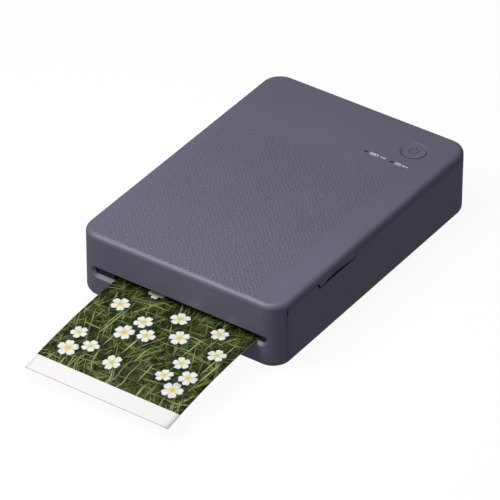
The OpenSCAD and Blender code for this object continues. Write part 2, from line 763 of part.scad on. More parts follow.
module main_board() {
    top = board_z + board_t;
    // Each chip's corner from the board's left front corner or its rear edge, and its size
    front_chips = [[14, 12.7, 14, 14, 1.2], [34, 14.7, 9, 12, 1.0], [48, 10.7, 12, 4, 2.6]];
    rear_chips = [[12, -26.3, 10, 8, 1.6], [30, -30.3, 6, 4, 0.8], [36, -16.3, 7, 7, 0.9],
                  [5, -16.3, 5, 9, 2.0]];
    color(board_green) difference() {
        union() {
            block([board_x0, board_y0, board_z], [board_x1, board_y1, top]);
            block([port_x - port_w / 2 - 1, board_y1 - 1, board_z],
                  [port_x + port_w / 2 + 1, rear_in - 0.6, top]);
        }
        board_posts(board_z - 1) cylinder(r = screw_r + 0.15, h = 5);
    }
    color(dark_grey) {
        for (chip = front_chips) translate([board_x0 + chip[0], board_y0 + chip[1], top])
            cube([chip[2], chip[3], chip[4]]);
        for (chip = rear_chips) translate([board_x0 + chip[0], board_y1 + chip[1], top])
            cube([chip[2], chip[3], chip[4]]);
    }
    color(cream) for (at = lamp_at)
        block([at[0] - 0.8, at[1] - 0.4, top], [at[0] + 0.8, at[1] + 0.4, top + 0.9]);
}

module board_screws() {
    color(steel) {
        board_posts(board_z + board_t) cylinder(r = screw_head_r - 0.1, h = 1.2);
        board_posts(board_z - 3) cylinder(r = screw_r - 0.12, h = 3 + board_t + 0.2);
    }
}

module charging_port() {
    y0 = rear_in - 6.2;
    mid_z = board_z - port_h / 2 - 0.1;
    color(steel) sheet_xz(y0, half_d - 0.7) translate([port_x, mid_z]) difference() {
        round_ended(port_w, port_h);
        round_ended(port_w - 0.6, port_h - 0.6);
    }
    color(dark_grey) {
        sheet_xz(y0, y0 + 1.4) translate([port_x, mid_z]) round_ended(port_w - 0.6, port_h - 0.6);
        block([port_x - 3.2, y0 + 1, mid_z - 0.35], [port_x + 3.2, half_d - 2.2, mid_z + 0.35]);
    }
}

module battery() {
    color([0.30, 0.34, 0.42]) translate([battery_x, battery_y, 0])
        rounded_slab(battery_w, battery_l, 2.5, battery_z, battery_z + battery_h);
}

module battery_tray() {
    left = -half_w + wall + 4.6;
    right = plate_right + 1.4;
    rim = 4;
    room_x = battery_w / 2 + 0.3;
    room_y = battery_l / 2 + 0.3;
    color(dark_grey) difference() {
        union() {
            block([left, tray_y0 + 5, tray_z], [plate_left - 0.5, tray_y1 - 6, tray_z + tray_t]);
            block([plate_left - 0.6, tray_y0, tray_z], [right, tray_y1, tray_z + tray_t]);
            // Rim round the battery
            difference() {
                block([battery_x - room_x - 1, battery_y - room_y - 1, tray_z],
                      [battery_x + room_x + 1, battery_y + room_y + 1, tray_z + rim]);
                block([battery_x - room_x, battery_y - room_y, tray_z + tray_t],
                      [battery_x + room_x, battery_y + room_y, tray_z + rim + 1]);
            }
            board_posts(tray_z) cylinder(r = post_r, h = board_z - tray_z);
            // Legs down to the floor
            for (y = [tray_y0 + 13, tray_y1 - 10])
                translate([left + 3, y, floor_z]) cylinder(r = 2.5, h = tray_z - floor_z + 0.5);
            block([plate_right, tray_y0 + 18, floor_z], [right, tray_y1 - 6, tray_z + 0.5]);
            // Post and bar for the side cover's rear hook
            block([plate_right, hook_y[1] - 3, tray_z], [right, hook_y[1] + 3, seam_z - 6.2]);
            hook_bar(hook_y[1], plate_right);
        }
        board_posts(board_z - 4) cylinder(r = screw_r - 0.1, h = 6);
    }
}

// ---- side plates and paper path ----

module plate_outline(y_end) {
    difference() {
        translate([plate_y0, plate_z0]) square([y_end - plate_y0, plate_z1 - plate_z0]);
        translate([plate_y0 - 1, plate_z1 - 4]) rotate(45) square([8, 8]);
        translate([y_end + 1, plate_z1 - 4]) rotate(45) square([8, 8]);
    }
}

module bush_holes() {
    for (at = [capstan_at, eject_at, platen_at, pickup_at]) translate(at) circle(r = bush_r + seat);
    for (at = [capstan_pinch_at, eject_pinch_at]) translate(at) circle(r = pinch_bush_r + seat);
    translate(head_pivot_at) circle(r = 1 + seat);
}

module left_side_plate() {
    x0 = plate_left - plate_t;
    color(steel) union() {
        sheet_yz(x0, plate_left) difference() {
            plate_outline(plate_y1);
            bush_holes();
            translate(takeup_at) circle(r = bush_r + seat);
            for (at = [transfer_at, ribbon_at, first_at, second_at]) translate(at)
                circle(r = 1 + seat);
            translate(motor_at) circle(r = 3.1);
        }
        // Feet on the floor
        for (y = [plate_y0 + 10, plate_y1 - 30, plate_y1 - 12])
            block([x0 - 5, y, floor_z], [plate_left, y + plate_foot, floor_z + plate_t]);
        // Fixed spindle of the supply spool
        rod(spindle_r, plate_left - 0.5, plate_left + 4.6, supply_at);
    }
}

module right_side_plate() {
    window_r = tube_r + 0.3;
    color(steel) union() {
        sheet_yz(plate_right, plate_right + plate_t) difference() {
            plate_outline(plate_y1);
            bush_holes();
            for (at = [takeup_at, supply_at]) translate(at) circle(r = window_r);
            translate([takeup_at[0], bridge_z0 - 0.3])
                square([supply_at[0] - takeup_at[0], bridge_h + 0.6]);
        }
        for (y = [plate_y0 + 14, plate_y1 - 34])
            block([plate_right - 4, y, floor_z],
                  [plate_right + plate_t, y + plate_foot, floor_z + plate_t]);
        hook_bar(hook_y[0], plate_right);
    }
}

module paper_guide() {
    low = path_z - 1.0;
    top = path_z - 0.35;
    margin = 0.5;
    ramp_y = capstan_at[0] + 3.6;
    baffle_t = 0.9;
    baffle_gap = 1.2;
    sheet_x0 = paper_x - paper_w / 2;
    sheet_x1 = paper_x + paper_w / 2;
    rib_pitch = (roll_x1 - roll_x0 - 6) / 7;
    x0 = plate_left;
    x1 = plate_right;
    color(dark_grey) difference() {
        union() {
            block([x0, front_in + 0.3, low], [x1, ramp_y, top]);
            block([x0, pickup_at[0] - 5.6, low], [x1, stack_y1 - 21, top]);
            // Side walls just behind the output slot, on a strip along the front
            intersection() {
                union() {
                    block([-half_w, front_in, low], [half_w, front_in + baffle_t, top]);
                    for (ends = [[-half_w, sheet_x0 - baffle_gap], [sheet_x1 + baffle_gap, half_w]])
                        block([ends[0], front_in, low],
                              [ends[1], front_in + baffle_t, slot_top + 0.5]);
                }
                rounded_slab(2 * half_w - 2 * wall - 0.6, 2 * half_d - 2 * wall - 0.6,
                    corner_r - wall - 0.3, base_z, ceiling_z);
            }
            for (x = [x0, x1 - 1.2])
                block([x, ramp_y - 0.9, low - 3], [x + 1.2, pickup_at[0] + 8, top]);
            // Ramp that lifts the sheets from the stack to the path
            for (i = [0:7]) let (x = roll_x0 + 2 + i * rib_pitch) sheet_yz(x, x + 2) polygon([
                [ramp_y - 0.5, low + 0.2], [ramp_y + 3.2, stack_top - 1.5],
                [ramp_y + 3.6, stack_top - 1.2], [ramp_y + 1.5, low + 0.9], [ramp_y - 0.5, top]
            ]);
        }
        // Windows for the rollers
        for (spot = [[eject_at, drive_d], [platen_at, platen_d], [capstan_at, drive_d]])
            block([x0 + 1.2, spot[0][0] - spot[1] / 2 - margin, low - 1],
                  [x1 - 1.2, spot[0][0] + spot[1] / 2 + margin, top + 1]);
        block([paper_x - 11.5, pickup_at[0] - 6, low - 1], [paper_x + 11.5, pickup_at[0] + 6, top + 1]);
        // Room for the shafts and their bushes
        for (at = [eject_at, capstan_at, pickup_at]) rod(bush_r + 0.55, x0 - 1, x0 + 0.8, at);
        for (at = [eject_at, capstan_at, pickup_at]) rod(bush_r + 0.55, x1 - 0.8, x1 + 1, at);
        rod(shaft_r + 0.3, x0, x1, pickup_at);
        for (at = [eject_pinch_at, capstan_pinch_at]) rod(pinch_bush_r + 0.55, x0 - 1, x1 + 1, at);
    }
}

// A bush with its bore, and a collar on the inner side of its plate
module bush(at, out_r, in_r, x) {
    collar_x = x < paper_x ? x + plate_t : x - 0.5;
    difference() {
        union() {
            rod(out_r, x, x + plate_t, at);
            rod(out_r + 0.35, collar_x, collar_x + 0.5, at);
        }
        rod(in_r, x - 2, x + plate_t + 2, at);
    }
}

module roller_bushes() {
    color(cream) for (x = [plate_left - plate_t, plate_right]) {
        for (at = [capstan_at, eject_at, platen_at, pickup_at]) bush(at, bush_r, shaft_r + fit, x);
        for (at = [capstan_pinch_at, eject_pinch_at])
            bush(at, pinch_bush_r, pinch_shaft_r + fit, x);
    }
    color(cream) bush(takeup_at, bush_r, spindle_r + fit, plate_left - plate_t);
}

// ---- rollers ----

module platen_roller() {
    color(rubber_black) difference() {
        rod(platen_d / 2, roll_x0, roll_x1, platen_at);
        rod(shaft_r + seat, roll_x0 - 1, roll_x1 + 1, platen_at);
    }
}

module platen_shaft() {
    color(steel) rod(shaft_r, plate_left - plate_t - 0.3, plate_right + plate_t + 0.3, platen_at);
}

module capstan_roller() {
    color(steel) union() {
        rod(shaft_r, gear_x0 - 0.2, plate_right + plate_t + 0.3, capstan_at);
        rod(drive_d / 2 - 0.15, roll_x0, roll_x1, capstan_at);
        // Gritted bands that grip the sheet
        for (side = [-1:1]) let (x = paper_x + side * (paper_w / 2 - 15))
            rod(drive_d / 2, x - 7, x + 7, capstan_at);
    }
}

module capstan_gear() {
    color(cream) train_gear(capstan_at, drive_teeth, capstan_turn, shaft_r + seat);
}

module eject_roller() {
    color(rubber_black) for (x = nip_x) difference() {
        rod(drive_d / 2, x - nip_len / 2, x + nip_len / 2, eject_at);
        rod(shaft_r + seat, x - nip_len, x + nip_len, eject_at);
    }
}

module eject_shaft() {
    color(steel) rod(shaft_r, gear_x0 - 0.2, plate_right + plate_t + 0.3, eject_at);
}

module eject_gear() {
    color(cream) train_gear(eject_at, drive_teeth, eject_turn, shaft_r + seat);
}

module pinch(at) {
    rod(pinch_shaft_r, plate_left - plate_t - 0.3, plate_right + plate_t + 0.3, at);
    for (x = nip_x) rod(pinch_d / 2, x - nip_len / 2, x + nip_len / 2, at);
}

module capstan_pinch() { color(dark_grey) pinch(capstan_pinch_at); }

module eject_pinch() { color(dark_grey) pinch(eject_pinch_at); }

module pickup_roller() {
    color(rubber_black) difference() {
        rod(pickup_d / 2, paper_x - 10, paper_x + 10, pickup_at);
        rod(shaft_r + seat, paper_x - 11, paper_x + 11, pickup_at);
    }
}

module pickup_shaft() {
    color(steel) rod(shaft_r, gear_x0 - 0.2, plate_right + plate_t + 0.3, pickup_at);
}

module pickup_gear() {
    color(cream) train_gear(pickup_at, pickup_teeth, pickup_turn, shaft_r + seat);
}

// ---- drive ----

module drive_motor() {
    color(steel) difference() {
        union() {
            intersection() {
                rod(motor_r, plate_left + 0.02, plate_left + motor_len, motor_at);
                block([plate_left - 1, motor_at[0] - 10, motor_at[1] - 6],
                      [plate_left + 40, motor_at[0] + 10, motor_at[1] + 6]);
            }
            rod(3, plate_left - plate_t, plate_left + 1, motor_at);
            rod(2.2, plate_left + motor_len - 0.5, plate_left + motor_len + 1.5, motor_at);
        }
        rod(0.75 + fit, plate_left - 3, plate_left + 6, motor_at);
    }
}

module motor_pinion() {
    color(steel) union() {
        train_gear(motor_at, pinion_teeth, motor_turn, 0.7);
        rod(0.75, gear_x0 - 0.2, plate_left + 5.5, motor_at);
    }
}

module first_idler() { color(cream) train_gear(first_at, first_teeth, first_turn, 1 + fit); }

module second_idler() { color(cream) train_gear(second_at, second_teeth, second_turn, 1 + fit); }

module transfer_idler() {
    color(cream) train_gear(transfer_at, transfer_teeth, transfer_turn, 1 + fit);
}

module ribbon_idler() { color(cream) train_gear(ribbon_at, ribbon_teeth, ribbon_turn, 1 + fit); }

module idler_axles() {
    color(steel) for (at = [transfer_at, ribbon_at, first_at, second_at]) {
        rod(1, gear_x0 - 0.6, plate_left, at);
        rod(1.6, gear_x0 - 1.0, gear_x0 - 0.3, at);
    }
}

// ---- ink cassette ----

module tube(at, toward) {
    difference() {
        union() {
            difference() {
                rod(tube_r, tube_x0, tube_x1, at);
                rod(tube_r - tube_wall, tube_x0 + 1.2, tube_x1 + 1, at);
            }
            rod(tube_r - 0.2, tube_x1 - 0.2, cap_x1, at);
        }
        // Way out for the film
        block([tube_x0 + 2, at[0] + (toward > 0 ? 1 : -tube_r - 1), at[1] - 6.5],
              [tube_x1 - 1, at[0] + (toward > 0 ? tube_r + 1 : -1), at[1] + 1.5]);
        rod(journal_r + fit, tube_x0 - 1, tube_x0 + 2, at);
        rod(journal_r + fit, tube_x1 - 1, cap_x1 - 1, at);
    }
}

module cassette_frame() {
    color(dark_grey) union() {
        tube(takeup_at, 1);
        tube(supply_at, -1);
        // Grip that joins the tubes at the open end
        difference() {
            block([tube_x1, takeup_at[0] + tube_r - 1.5, bridge_z0],
                  [cap_x1, supply_at[0] - tube_r + 1.5, bridge_z0 + bridge_h]);
            block([tube_x1 + 2, takeup_at[0] + tube_r + 2, bridge_z0 - 1],
                  [cap_x1 - 1.2, supply_at[0] - tube_r - 2, bridge_z0 + 1.4]);
        }
    }
}

// A spool runs in both ends of its tube
module spool(at) {
    difference() {
        union() {
            rod(spool_r, tube_x0 + 1.4, tube_x1 - 0.3, at);
            rod(journal_r, tube_x0 - 0.2, cap_x1 - 1.4, at);
        }
        rod(spindle_r + 0.1, tube_x0 - 1, tube_x0 + 3.6, at);
    }
}

module supply_spool() { color(cream) spool(supply_at); }

module takeup_spool() { color(cream) spool(takeup_at); }

module film_roll(at, d) {
    difference() {
        rod(d / 2, film_x0, film_x1, at);
        rod(spool_r + seat, roll_x0, roll_x1, at);
    }
}

module supply_ribbon() { color([0.75, 0.62, 0.12]) film_roll(supply_at, supply_d); }

module takeup_ribbon() { color([0.16, 0.14, 0.16]) film_roll(takeup_at, used_d); }

module takeup_gear() {
    color(cream) union() {
        train_gear(takeup_at, takeup_teeth, takeup_turn, spindle_r - 0.1);
        rod(spindle_r, gear_x0 - 0.2, tube_x0 + 3.2, takeup_at);
    }
}

module ribbon_film() {
    t = 0.12;
    under = head_z - 0.16;
    takeup_in = [takeup_at[0] + used_d / 2 + 0.4, takeup_at[1] - 1.6];
    supply_in = [supply_at[0] - supply_d / 2 - 0.4, supply_at[1] - 1.6];
    run = [
        takeup_in, [platen_at[0] - 6.6, under + 3.4], [platen_at[0] - 5.4, under],
        [platen_at[0] + 5.4, under], [platen_at[0] + 6.6, under + 3.4], supply_in
    ];
    color([0.75, 0.62, 0.12]) sheet_yz(film_x0, film_x1) polygon(concat(
        run, [for (i = [len(run) - 1:-1:0]) [run[i][0], run[i][1] + t]]));
}

// ---- thermal head ----

module thermal_head() {
    color(cream) union() {
        block([roll_x0 + 0.4, platen_at[0] - 4.5, head_z + 0.25],
              [roll_x1 - 1, platen_at[0] + 4.5, head_z + 1]);
        rod(0.5, roll_x0 + 0.8, roll_x1 - 1.4, [platen_at[0], head_z + 0.5]);
    }
}

module heat_sink() {
    z0 = head_z + 1;
    color([0.78, 0.79, 0.80]) difference() {
        block([roll_x0 + 0.8, platen_at[0] - 4.6, z0], [roll_x1 - 1.4, platen_at[0] + 4.6, z0 + 5.4]);
        for (y = [-3.2, -1.6, 0, 1.6, 3.2])
            block([roll_x0 - 1, platen_at[0] + y - 0.4, z0 + 1.6],
                  [roll_x1 + 1, platen_at[0] + y + 0.4, z0 + 5.5]);
    }
}

module head_bracket() {
    z0 = head_z + 6.4;
    arm = 1.0;
    color(steel) difference() {
        union() {
            block([roll_x0 + 0.4, platen_at[0] - 4.8, z0], [roll_x1 - 1, platen_at[0] + 4.8, z0 + 0.8]);
            for (x = [roll_x0 + 0.4, roll_x1 - 1 - arm]) {
                sheet_yz(x, x + arm) polygon([
                    [platen_at[0] - 3, z0], [platen_at[0] + 4.8, z0],
                    [head_pivot_at[0] + 2, head_pivot_at[1] - 1.2],
                    [head_pivot_at[0] - 2, head_pivot_at[1] + 1.2]
                ]);
                rod(2.3, x, x + arm, head_pivot_at);
            }
        }
        rod(1 + fit, roll_x0 - 1, roll_x1 + 1, head_pivot_at);
    }
}

module head_shaft() {
    color(steel) rod(1, plate_left - plate_t - 0.2, plate_right + plate_t + 0.2, head_pivot_at);
}

// Coil springs round the head's shaft, closed turns with a leg on the bracket
module head_springs() {
    color(steel) for (x = [roll_x0 + 1.8, roll_x1 - 6.2]) difference() {
        union() {
            rod(1.75, x, x + 4, head_pivot_at);
            sheet_yz(x, x + 0.5) polygon([
                [head_pivot_at[0] - 1.6, head_pivot_at[1] - 0.5],
                [head_pivot_at[0] - 1.2, head_pivot_at[1] - 1],
                [platen_at[0] + 3.4, head_z + 7.35], [platen_at[0] + 3, head_z + 7.35]
            ]);
        }
        rod(1.3, x - 1, x + 5, head_pivot_at);
    }
}

// ---- finished print ----

function droop(t) = path_z - sheet_droop * pow(max(0, t) / sheet_out, 2);

module printed_sheet() {
    steps = 24;
    line = concat([[-half_d + sheet_held, path_z]],
        [for (i = [0:steps]) let (t = sheet_out * i / steps) [-half_d - t, droop(t)]]);
    color(paper_white) sheet_yz(paper_x - paper_w / 2, paper_x + paper_w / 2) polygon(concat(
        line, [for (i = [len(line) - 1:-1:0]) [line[i][0], line[i][1] + sheet_t]]));
}

lower_case();
top_cover();
rubber_feet();
case_screws();
cassette_door();
door_hinge_pins();
paper_cover();
paper_cover_pins();
press_plate();
press_springs();
paper_stack();
power_button();
power_switch();
lamp_windows();
main_board();
board_screws();
charging_port();
battery();
battery_tray();
left_side_plate();
right_side_plate();
paper_guide();
roller_bushes();
platen_roller();
platen_shaft();
capstan_roller();
capstan_gear();
eject_roller();
eject_shaft();
eject_gear();
capstan_pinch();
eject_pinch();
pickup_roller();
pickup_shaft();
pickup_gear();
drive_motor();
motor_pinion();
first_idler();
second_idler();
transfer_idler();
ribbon_idler();
idler_axles();
cassette_frame();
supply_spool();
supply_ribbon();
takeup_spool();
takeup_ribbon();
takeup_gear();
ribbon_film();
thermal_head();
heat_sink();
head_bracket();
head_shaft();
head_springs();
printed_sheet();
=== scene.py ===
import json
import math

import bmesh
import bpy
from mathutils import Matrix, Vector


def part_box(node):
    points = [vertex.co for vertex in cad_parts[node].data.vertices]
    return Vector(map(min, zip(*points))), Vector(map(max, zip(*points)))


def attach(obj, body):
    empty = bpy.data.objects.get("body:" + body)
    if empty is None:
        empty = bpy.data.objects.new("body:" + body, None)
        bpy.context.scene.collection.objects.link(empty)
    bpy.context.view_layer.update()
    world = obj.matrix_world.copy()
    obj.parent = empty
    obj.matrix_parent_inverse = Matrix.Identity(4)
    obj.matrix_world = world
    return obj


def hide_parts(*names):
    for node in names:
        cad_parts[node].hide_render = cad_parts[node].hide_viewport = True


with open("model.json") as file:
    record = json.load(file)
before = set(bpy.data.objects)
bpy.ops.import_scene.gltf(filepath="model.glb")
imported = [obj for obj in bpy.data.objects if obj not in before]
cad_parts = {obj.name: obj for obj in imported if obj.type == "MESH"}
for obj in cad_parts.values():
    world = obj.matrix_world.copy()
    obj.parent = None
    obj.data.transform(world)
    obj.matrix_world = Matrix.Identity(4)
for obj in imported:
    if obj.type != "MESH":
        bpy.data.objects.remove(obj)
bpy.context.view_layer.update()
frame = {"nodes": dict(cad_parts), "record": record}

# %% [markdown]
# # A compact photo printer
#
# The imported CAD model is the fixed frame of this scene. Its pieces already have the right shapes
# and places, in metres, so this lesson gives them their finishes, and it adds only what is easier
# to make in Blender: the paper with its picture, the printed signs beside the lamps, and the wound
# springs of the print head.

MM = 0.001

# %% [markdown]
# ## The camera
#
# A product photo like this one is taken with a long lens from about two metres away, so that the
# upright edges stay nearly upright. The angles could be guessed by eye, but here they were fitted
# to the corners of the case and of the slot, which is why they have decimals. The camera matrix is
# built from three directions: right, up and back towards the lens.

# %% Camera
AZIMUTH, ELEVATION, ROLL = (math.radians(v) for v in (34.60644, 35.76889, 0.15780))
DISTANCE, SHIFT_X, SHIFT_Z = 2005.563 * MM, -11.3364 * MM, -13.6103 * MM
FOCAL_PIXELS, PHOTO_PIXELS, SENSOR = 4724.747, 500, 36.0
CASE_H = 32.9 * MM

back = Vector((math.sin(AZIMUTH) * math.cos(ELEVATION),
               -math.cos(AZIMUTH) * math.cos(ELEVATION), math.sin(ELEVATION)))
right = Vector((math.cos(AZIMUTH), math.sin(AZIMUTH), 0))
up = back.cross(right)
place = Vector((0, 0, CASE_H / 2)) + back * DISTANCE + right * SHIFT_X + up * SHIFT_Z
rolled_right = math.cos(ROLL) * right + math.sin(ROLL) * up
rolled_up = math.cos(ROLL) * up - math.sin(ROLL) * right

camera_data = bpy.data.cameras.new("photo_camera")
camera_data.sensor_width = SENSOR
camera_data.lens = FOCAL_PIXELS * SENSOR / PHOTO_PIXELS
camera_data.clip_start, camera_data.clip_end = 0.1, 30
camera = bpy.data.objects.new("photo_camera", camera_data)
camera.matrix_world = Matrix((
    (rolled_right.x, rolled_up.x, back.x, place.x),
    (rolled_right.y, rolled_up.y, back.y, place.y),
    (rolled_right.z, rolled_up.z, back.z, place.z),
    (0, 0, 0, 1)))
bpy.context.scene.collection.objects.link(camera)
bpy.context.scene.camera = camera
bpy.context.scene.view_settings.view_transform = "Standard"
print("lens in mm:", round(camera_data.lens, 1))

# %% [markdown]
# ## Short ways to build a finish
#
# Every finish below is a Principled shader with a little variation in colour, gloss and relief.
# Pictures of plastic or steel could give that too, but they repeat and they have a fixed size, so
# everything here is calculated. Writing out each node would hide the idea, and a few helpers add
# the common ones. Places come from Object coordinates, turned into millimetres, so that a grain of
# 0.4 is a grain of 0.4 mm.


# %% Helpers for nodes
def new_finish(name):
    """A material with a Principled shader; gives the node tree and the shader."""
    material = bpy.data.materials.new(name)
    material.use_nodes = True
    shader = material.node_tree.nodes["Principled BSDF"]
    return material, material.node_tree, shader


def add_node(tree, kind, inputs=None, **settings):
    """A node with its settings, and its inputs set or linked by name or number."""
    made = tree.nodes.new(kind)
    for key, value in settings.items():
        setattr(made, key, value)
    for key, value in (inputs or {}).items():
        if isinstance(value, bpy.types.NodeSocket):
            tree.links.new(value, made.inputs[key])
        else:
            made.inputs[key].default_value = value
    return made


def millimetres(tree, stretch=(1, 1, 1), shift=(0, 0, 0)):
    """Object coordinates in millimetres, stretched or shifted for a pattern."""
    where = add_node(tree, "ShaderNodeTexCoord")
    mapping = add_node(tree, "ShaderNodeMapping", {"Vector": where.outputs["Object"]})
    mapping.inputs["Scale"].default_value = [1000 * s for s in stretch]
    mapping.inputs["Location"].default_value = shift
    return mapping.outputs["Vector"]


def link(tree, output, shader, name):
    tree.links.new(output, shader.inputs[name])


print("helpers for nodes: new_finish, add_node, millimetres, link")

# %% [markdown]
# A pattern starts as a plain grey value: soft noise, or arithmetic on the place. It is stretched
# between two limits, and then it mixes two colours, sets the gloss or lifts the surface. Each of
# these is one node, so each helper is only a line or two long.


# %% Helpers for patterns
def noise(tree, vector, size, detail=3.0, rough=0.55, twist=0.0):
    """Soft random spots about size millimetres across."""
    return add_node(tree, "ShaderNodeTexNoise", {
        "Vector": vector, "Scale": 1 / size, "Detail": detail, "Roughness": rough,
        "Distortion": twist}).outputs["Fac"]


def levels(tree, value, low, high, to_low=0.0, to_high=1.0):
    """Stretches the part of a value between low and high."""
    return add_node(tree, "ShaderNodeMapRange", {
        "Value": value, "From Min": low, "From Max": high, "To Min": to_low,
        "To Max": to_high}).outputs["Result"]


def maths(tree, kind, first, second=0.0):
    """One step of arithmetic on values or numbers."""
    return add_node(tree, "ShaderNodeMath", {0: first, 1: second}, operation=kind).outputs[0]


def mix_colours(tree, share, first, second, kind="MIX"):
    """Colour mix; colours are sockets or (r, g, b)."""
    made = tree.nodes.new("ShaderNodeMix")
    made.data_type, made.blend_type = "RGBA", kind
    for index, value in ((0, share), (6, first), (7, second)):
        if isinstance(value, bpy.types.NodeSocket):
            tree.links.new(value, made.inputs[index])
        else:
            made.inputs[index].default_value = value if index == 0 else (*value, 1)
    return made.outputs[2]


def relief(tree, shader, height, depth, strength=1.0):
    """Bumps depth millimetres high, without any change to the mesh."""
    bump = add_node(tree, "ShaderNodeBump", {
        "Height": height, "Strength": strength, "Distance": depth * MM})
    tree.links.new(bump.outputs["Normal"], shader.inputs["Normal"])


def vary_gloss(tree, shader, value, smooth, rough):
    """Roughness between two limits, by a noise value."""
    link(tree, levels(tree, value, 0.3, 0.7, smooth, rough), shader, "Roughness")


def darker(colour, share):
    """The colour times a share; above 1 it gets lighter."""
    return tuple(c * share for c in colour)


print("helpers for patterns: noise, levels, maths, mix_colours, relief, vary_gloss, darker")

# %% [markdown]
# ## The moulded case
#
# The case is injection-moulded in a dark violet grey. The mould is etched, so the plastic is satin
# with a fine random texture, and a batch of plastic is never quite even in colour. One even colour
# with one gloss would look like a drawing. A noise at two scales does better: the large one shifts
# the colour by a few per cent, and the small one makes the etched surface. Coarse plastics, those
# with a wide spread of colour, get dark specks from the small one as well.

# %% Case plastic
CASE_VIOLET = (0.128, 0.123, 0.164)
PATCH_SIZE, COARSE_SPREAD = 22.0, 0.08


def satin_plastic(name, colour, grain=0.25, depth=0.012, rough=0.41, spread=0.04):
    """Moulded plastic: patchy by a few per cent, and finely etched."""
    material, tree, shader = new_finish(name)
    spot = millimetres(tree)
    patches = noise(tree, spot, PATCH_SIZE, 2.0)
    fine = noise(tree, spot, grain, 2.0, 0.6)
    uneven = mix_colours(tree, levels(tree, patches, 0.3, 0.7),
                         darker(colour, 1 - spread), darker(colour, 1 + spread))
    if spread > COARSE_SPREAD:
        uneven = mix_colours(tree, levels(tree, fine, 0.35, 0.65), uneven, darker(colour, 0.92))
    link(tree, uneven, shader, "Base Color")
    vary_gloss(tree, shader, fine, rough - 0.05, rough + 0.06)
    shader.inputs["Specular IOR Level"].default_value = 0.5
    relief(tree, shader, fine, depth, 0.6)
    return material


case_plastic = satin_plastic("case_plastic", CASE_VIOLET)
print("made", case_plastic.name)

# %% [markdown]
# ## The grained top
#
# Most of the top face carries a soft leather-like grain, small rounded pebbles in rows. A Voronoi
# texture would give cells that are too irregular. Here two cosine waves, one in X and one in Y, are
# multiplied into a lattice of pebbles. A slow noise added to their phase bends the rows a little,
# and a second noise makes some pebbles flatter than others.

# %% Pebbles in rows
GRAIN_PITCH, ROW_BEND, BEND_SIZE, ROW_SHARE = 2.32, 9.0, 3.6, 0.35


def bent_wave(tree, place, start):
    """A cosine along one axis, with its phase pushed about by noise."""
    drift = add_node(tree, "ShaderNodeTexNoise", {
        "Vector": millimetres(tree, shift=(start, 0, 0)), "Scale": 1 / BEND_SIZE, "Detail": 3.0})
    phase = maths(tree, "ADD", maths(tree, "MULTIPLY", place, math.tau / GRAIN_PITCH),
                  maths(tree, "MULTIPLY", drift.outputs["Fac"], ROW_BEND))
    return maths(tree, "COSINE", phase)


def pebble_rows(tree, spot, x, y):
    """0 in the valleys, 1 on the pebbles."""
    across, along = bent_wave(tree, x, 0.0), bent_wave(tree, y, 40.0)
    lattice = maths(tree, "ADD", maths(tree, "MULTIPLY", across, along),
                    maths(tree, "MULTIPLY", across, ROW_SHARE))
    uneven = levels(tree, noise(tree, spot, 2.2, 3.0), 0.3, 0.68, 0.15, 1.15)
    return levels(tree, maths(tree, "MULTIPLY", lattice, uneven), -0.9, 0.9)


print("grain pitch in mm:", GRAIN_PITCH)

# %% [markdown]
# The grain fades out towards the right edge and before the rear strip, where the controls are, and
# the rounded edge is smooth too. The field could be cut out as a face of its own, with a hard
# border. A mask made of the place fades softly and leaves the mesh as it is. The same mask also
# paints shade into the valleys and makes the pebbles a little glossier.

# %% Grained top
GRAIN_LEFT, GRAIN_RIGHT, GRAIN_REAR, GRAIN_FADE, REAR_FADE = -51.0, 42.0, 40.0, 9.0, 14.0
GRAIN_RELIEF, VALLEY_PAINTED_SHADE = 0.24, 0.40
TOP_Z = CASE_H / MM


def fade(tree, value, end, width):
    """1 before the end, falling softly to 0 at it."""
    made = add_node(tree, "ShaderNodeMapRange", {
        "Value": value, "From Min": end - width, "From Max": end, "To Min": 1.0,
        "To Max": 0.0}, interpolation_type="SMOOTHSTEP")
    return made.outputs["Result"]


def grain_field(tree, x, y, z):
    """1 where the grain shows."""
    field = maths(tree, "MULTIPLY", fade(tree, x, GRAIN_RIGHT, GRAIN_FADE),
                  fade(tree, y, GRAIN_REAR, REAR_FADE))
    field = maths(tree, "MULTIPLY", field, levels(tree, x, GRAIN_LEFT, GRAIN_LEFT + GRAIN_FADE))
    return maths(tree, "MULTIPLY", field, levels(tree, z, TOP_Z - 0.25, TOP_Z - 0.05))


def grained_top():
    material, tree, shader = new_finish("case_plastic_grained")
    spot = millimetres(tree)
    x, y, z = add_node(tree, "ShaderNodeSeparateXYZ", {0: spot}).outputs
    pebbles, field = pebble_rows(tree, spot, x, y), grain_field(tree, x, y, z)
    fine = noise(tree, spot, 0.25, 2.0, 0.6)
    patches = noise(tree, spot, 26.0, 2.0)
    plain = mix_colours(tree, levels(tree, patches, 0.3, 0.7),
                        darker(CASE_VIOLET, 0.97), darker(CASE_VIOLET, 1.04))
    smooth = mix_colours(tree, 1.0, plain, (0.94, 0.94, 0.95), "MULTIPLY")
    colour = mix_colours(tree, field, smooth, plain)
    # Painted shade in the valleys between the pebbles.
    valleys = maths(tree, "MULTIPLY", field,
                    levels(tree, pebbles, 0.1, 0.8, VALLEY_PAINTED_SHADE, 0.0))
    link(tree, mix_colours(tree, valleys, colour, darker(CASE_VIOLET, 0.5)), shader, "Base Color")
    gloss = maths(tree, "SUBTRACT", 0.43, maths(tree, "MULTIPLY", field, 0.04))
    link(tree, maths(tree, "ADD", gloss, levels(tree, fine, 0.3, 0.7, -0.04, 0.05)),
         shader, "Roughness")
    shader.inputs["Specular IOR Level"].default_value = 0.5
    height = maths(tree, "ADD", maths(tree, "MULTIPLY", pebbles, field),
                   maths(tree, "MULTIPLY", fine, 0.14))
    relief(tree, shader, height, GRAIN_RELIEF)
    return material


case_plastic_grained = grained_top()
print("made", case_plastic_grained.name, "with its top at", round(TOP_Z, 2), "mm")

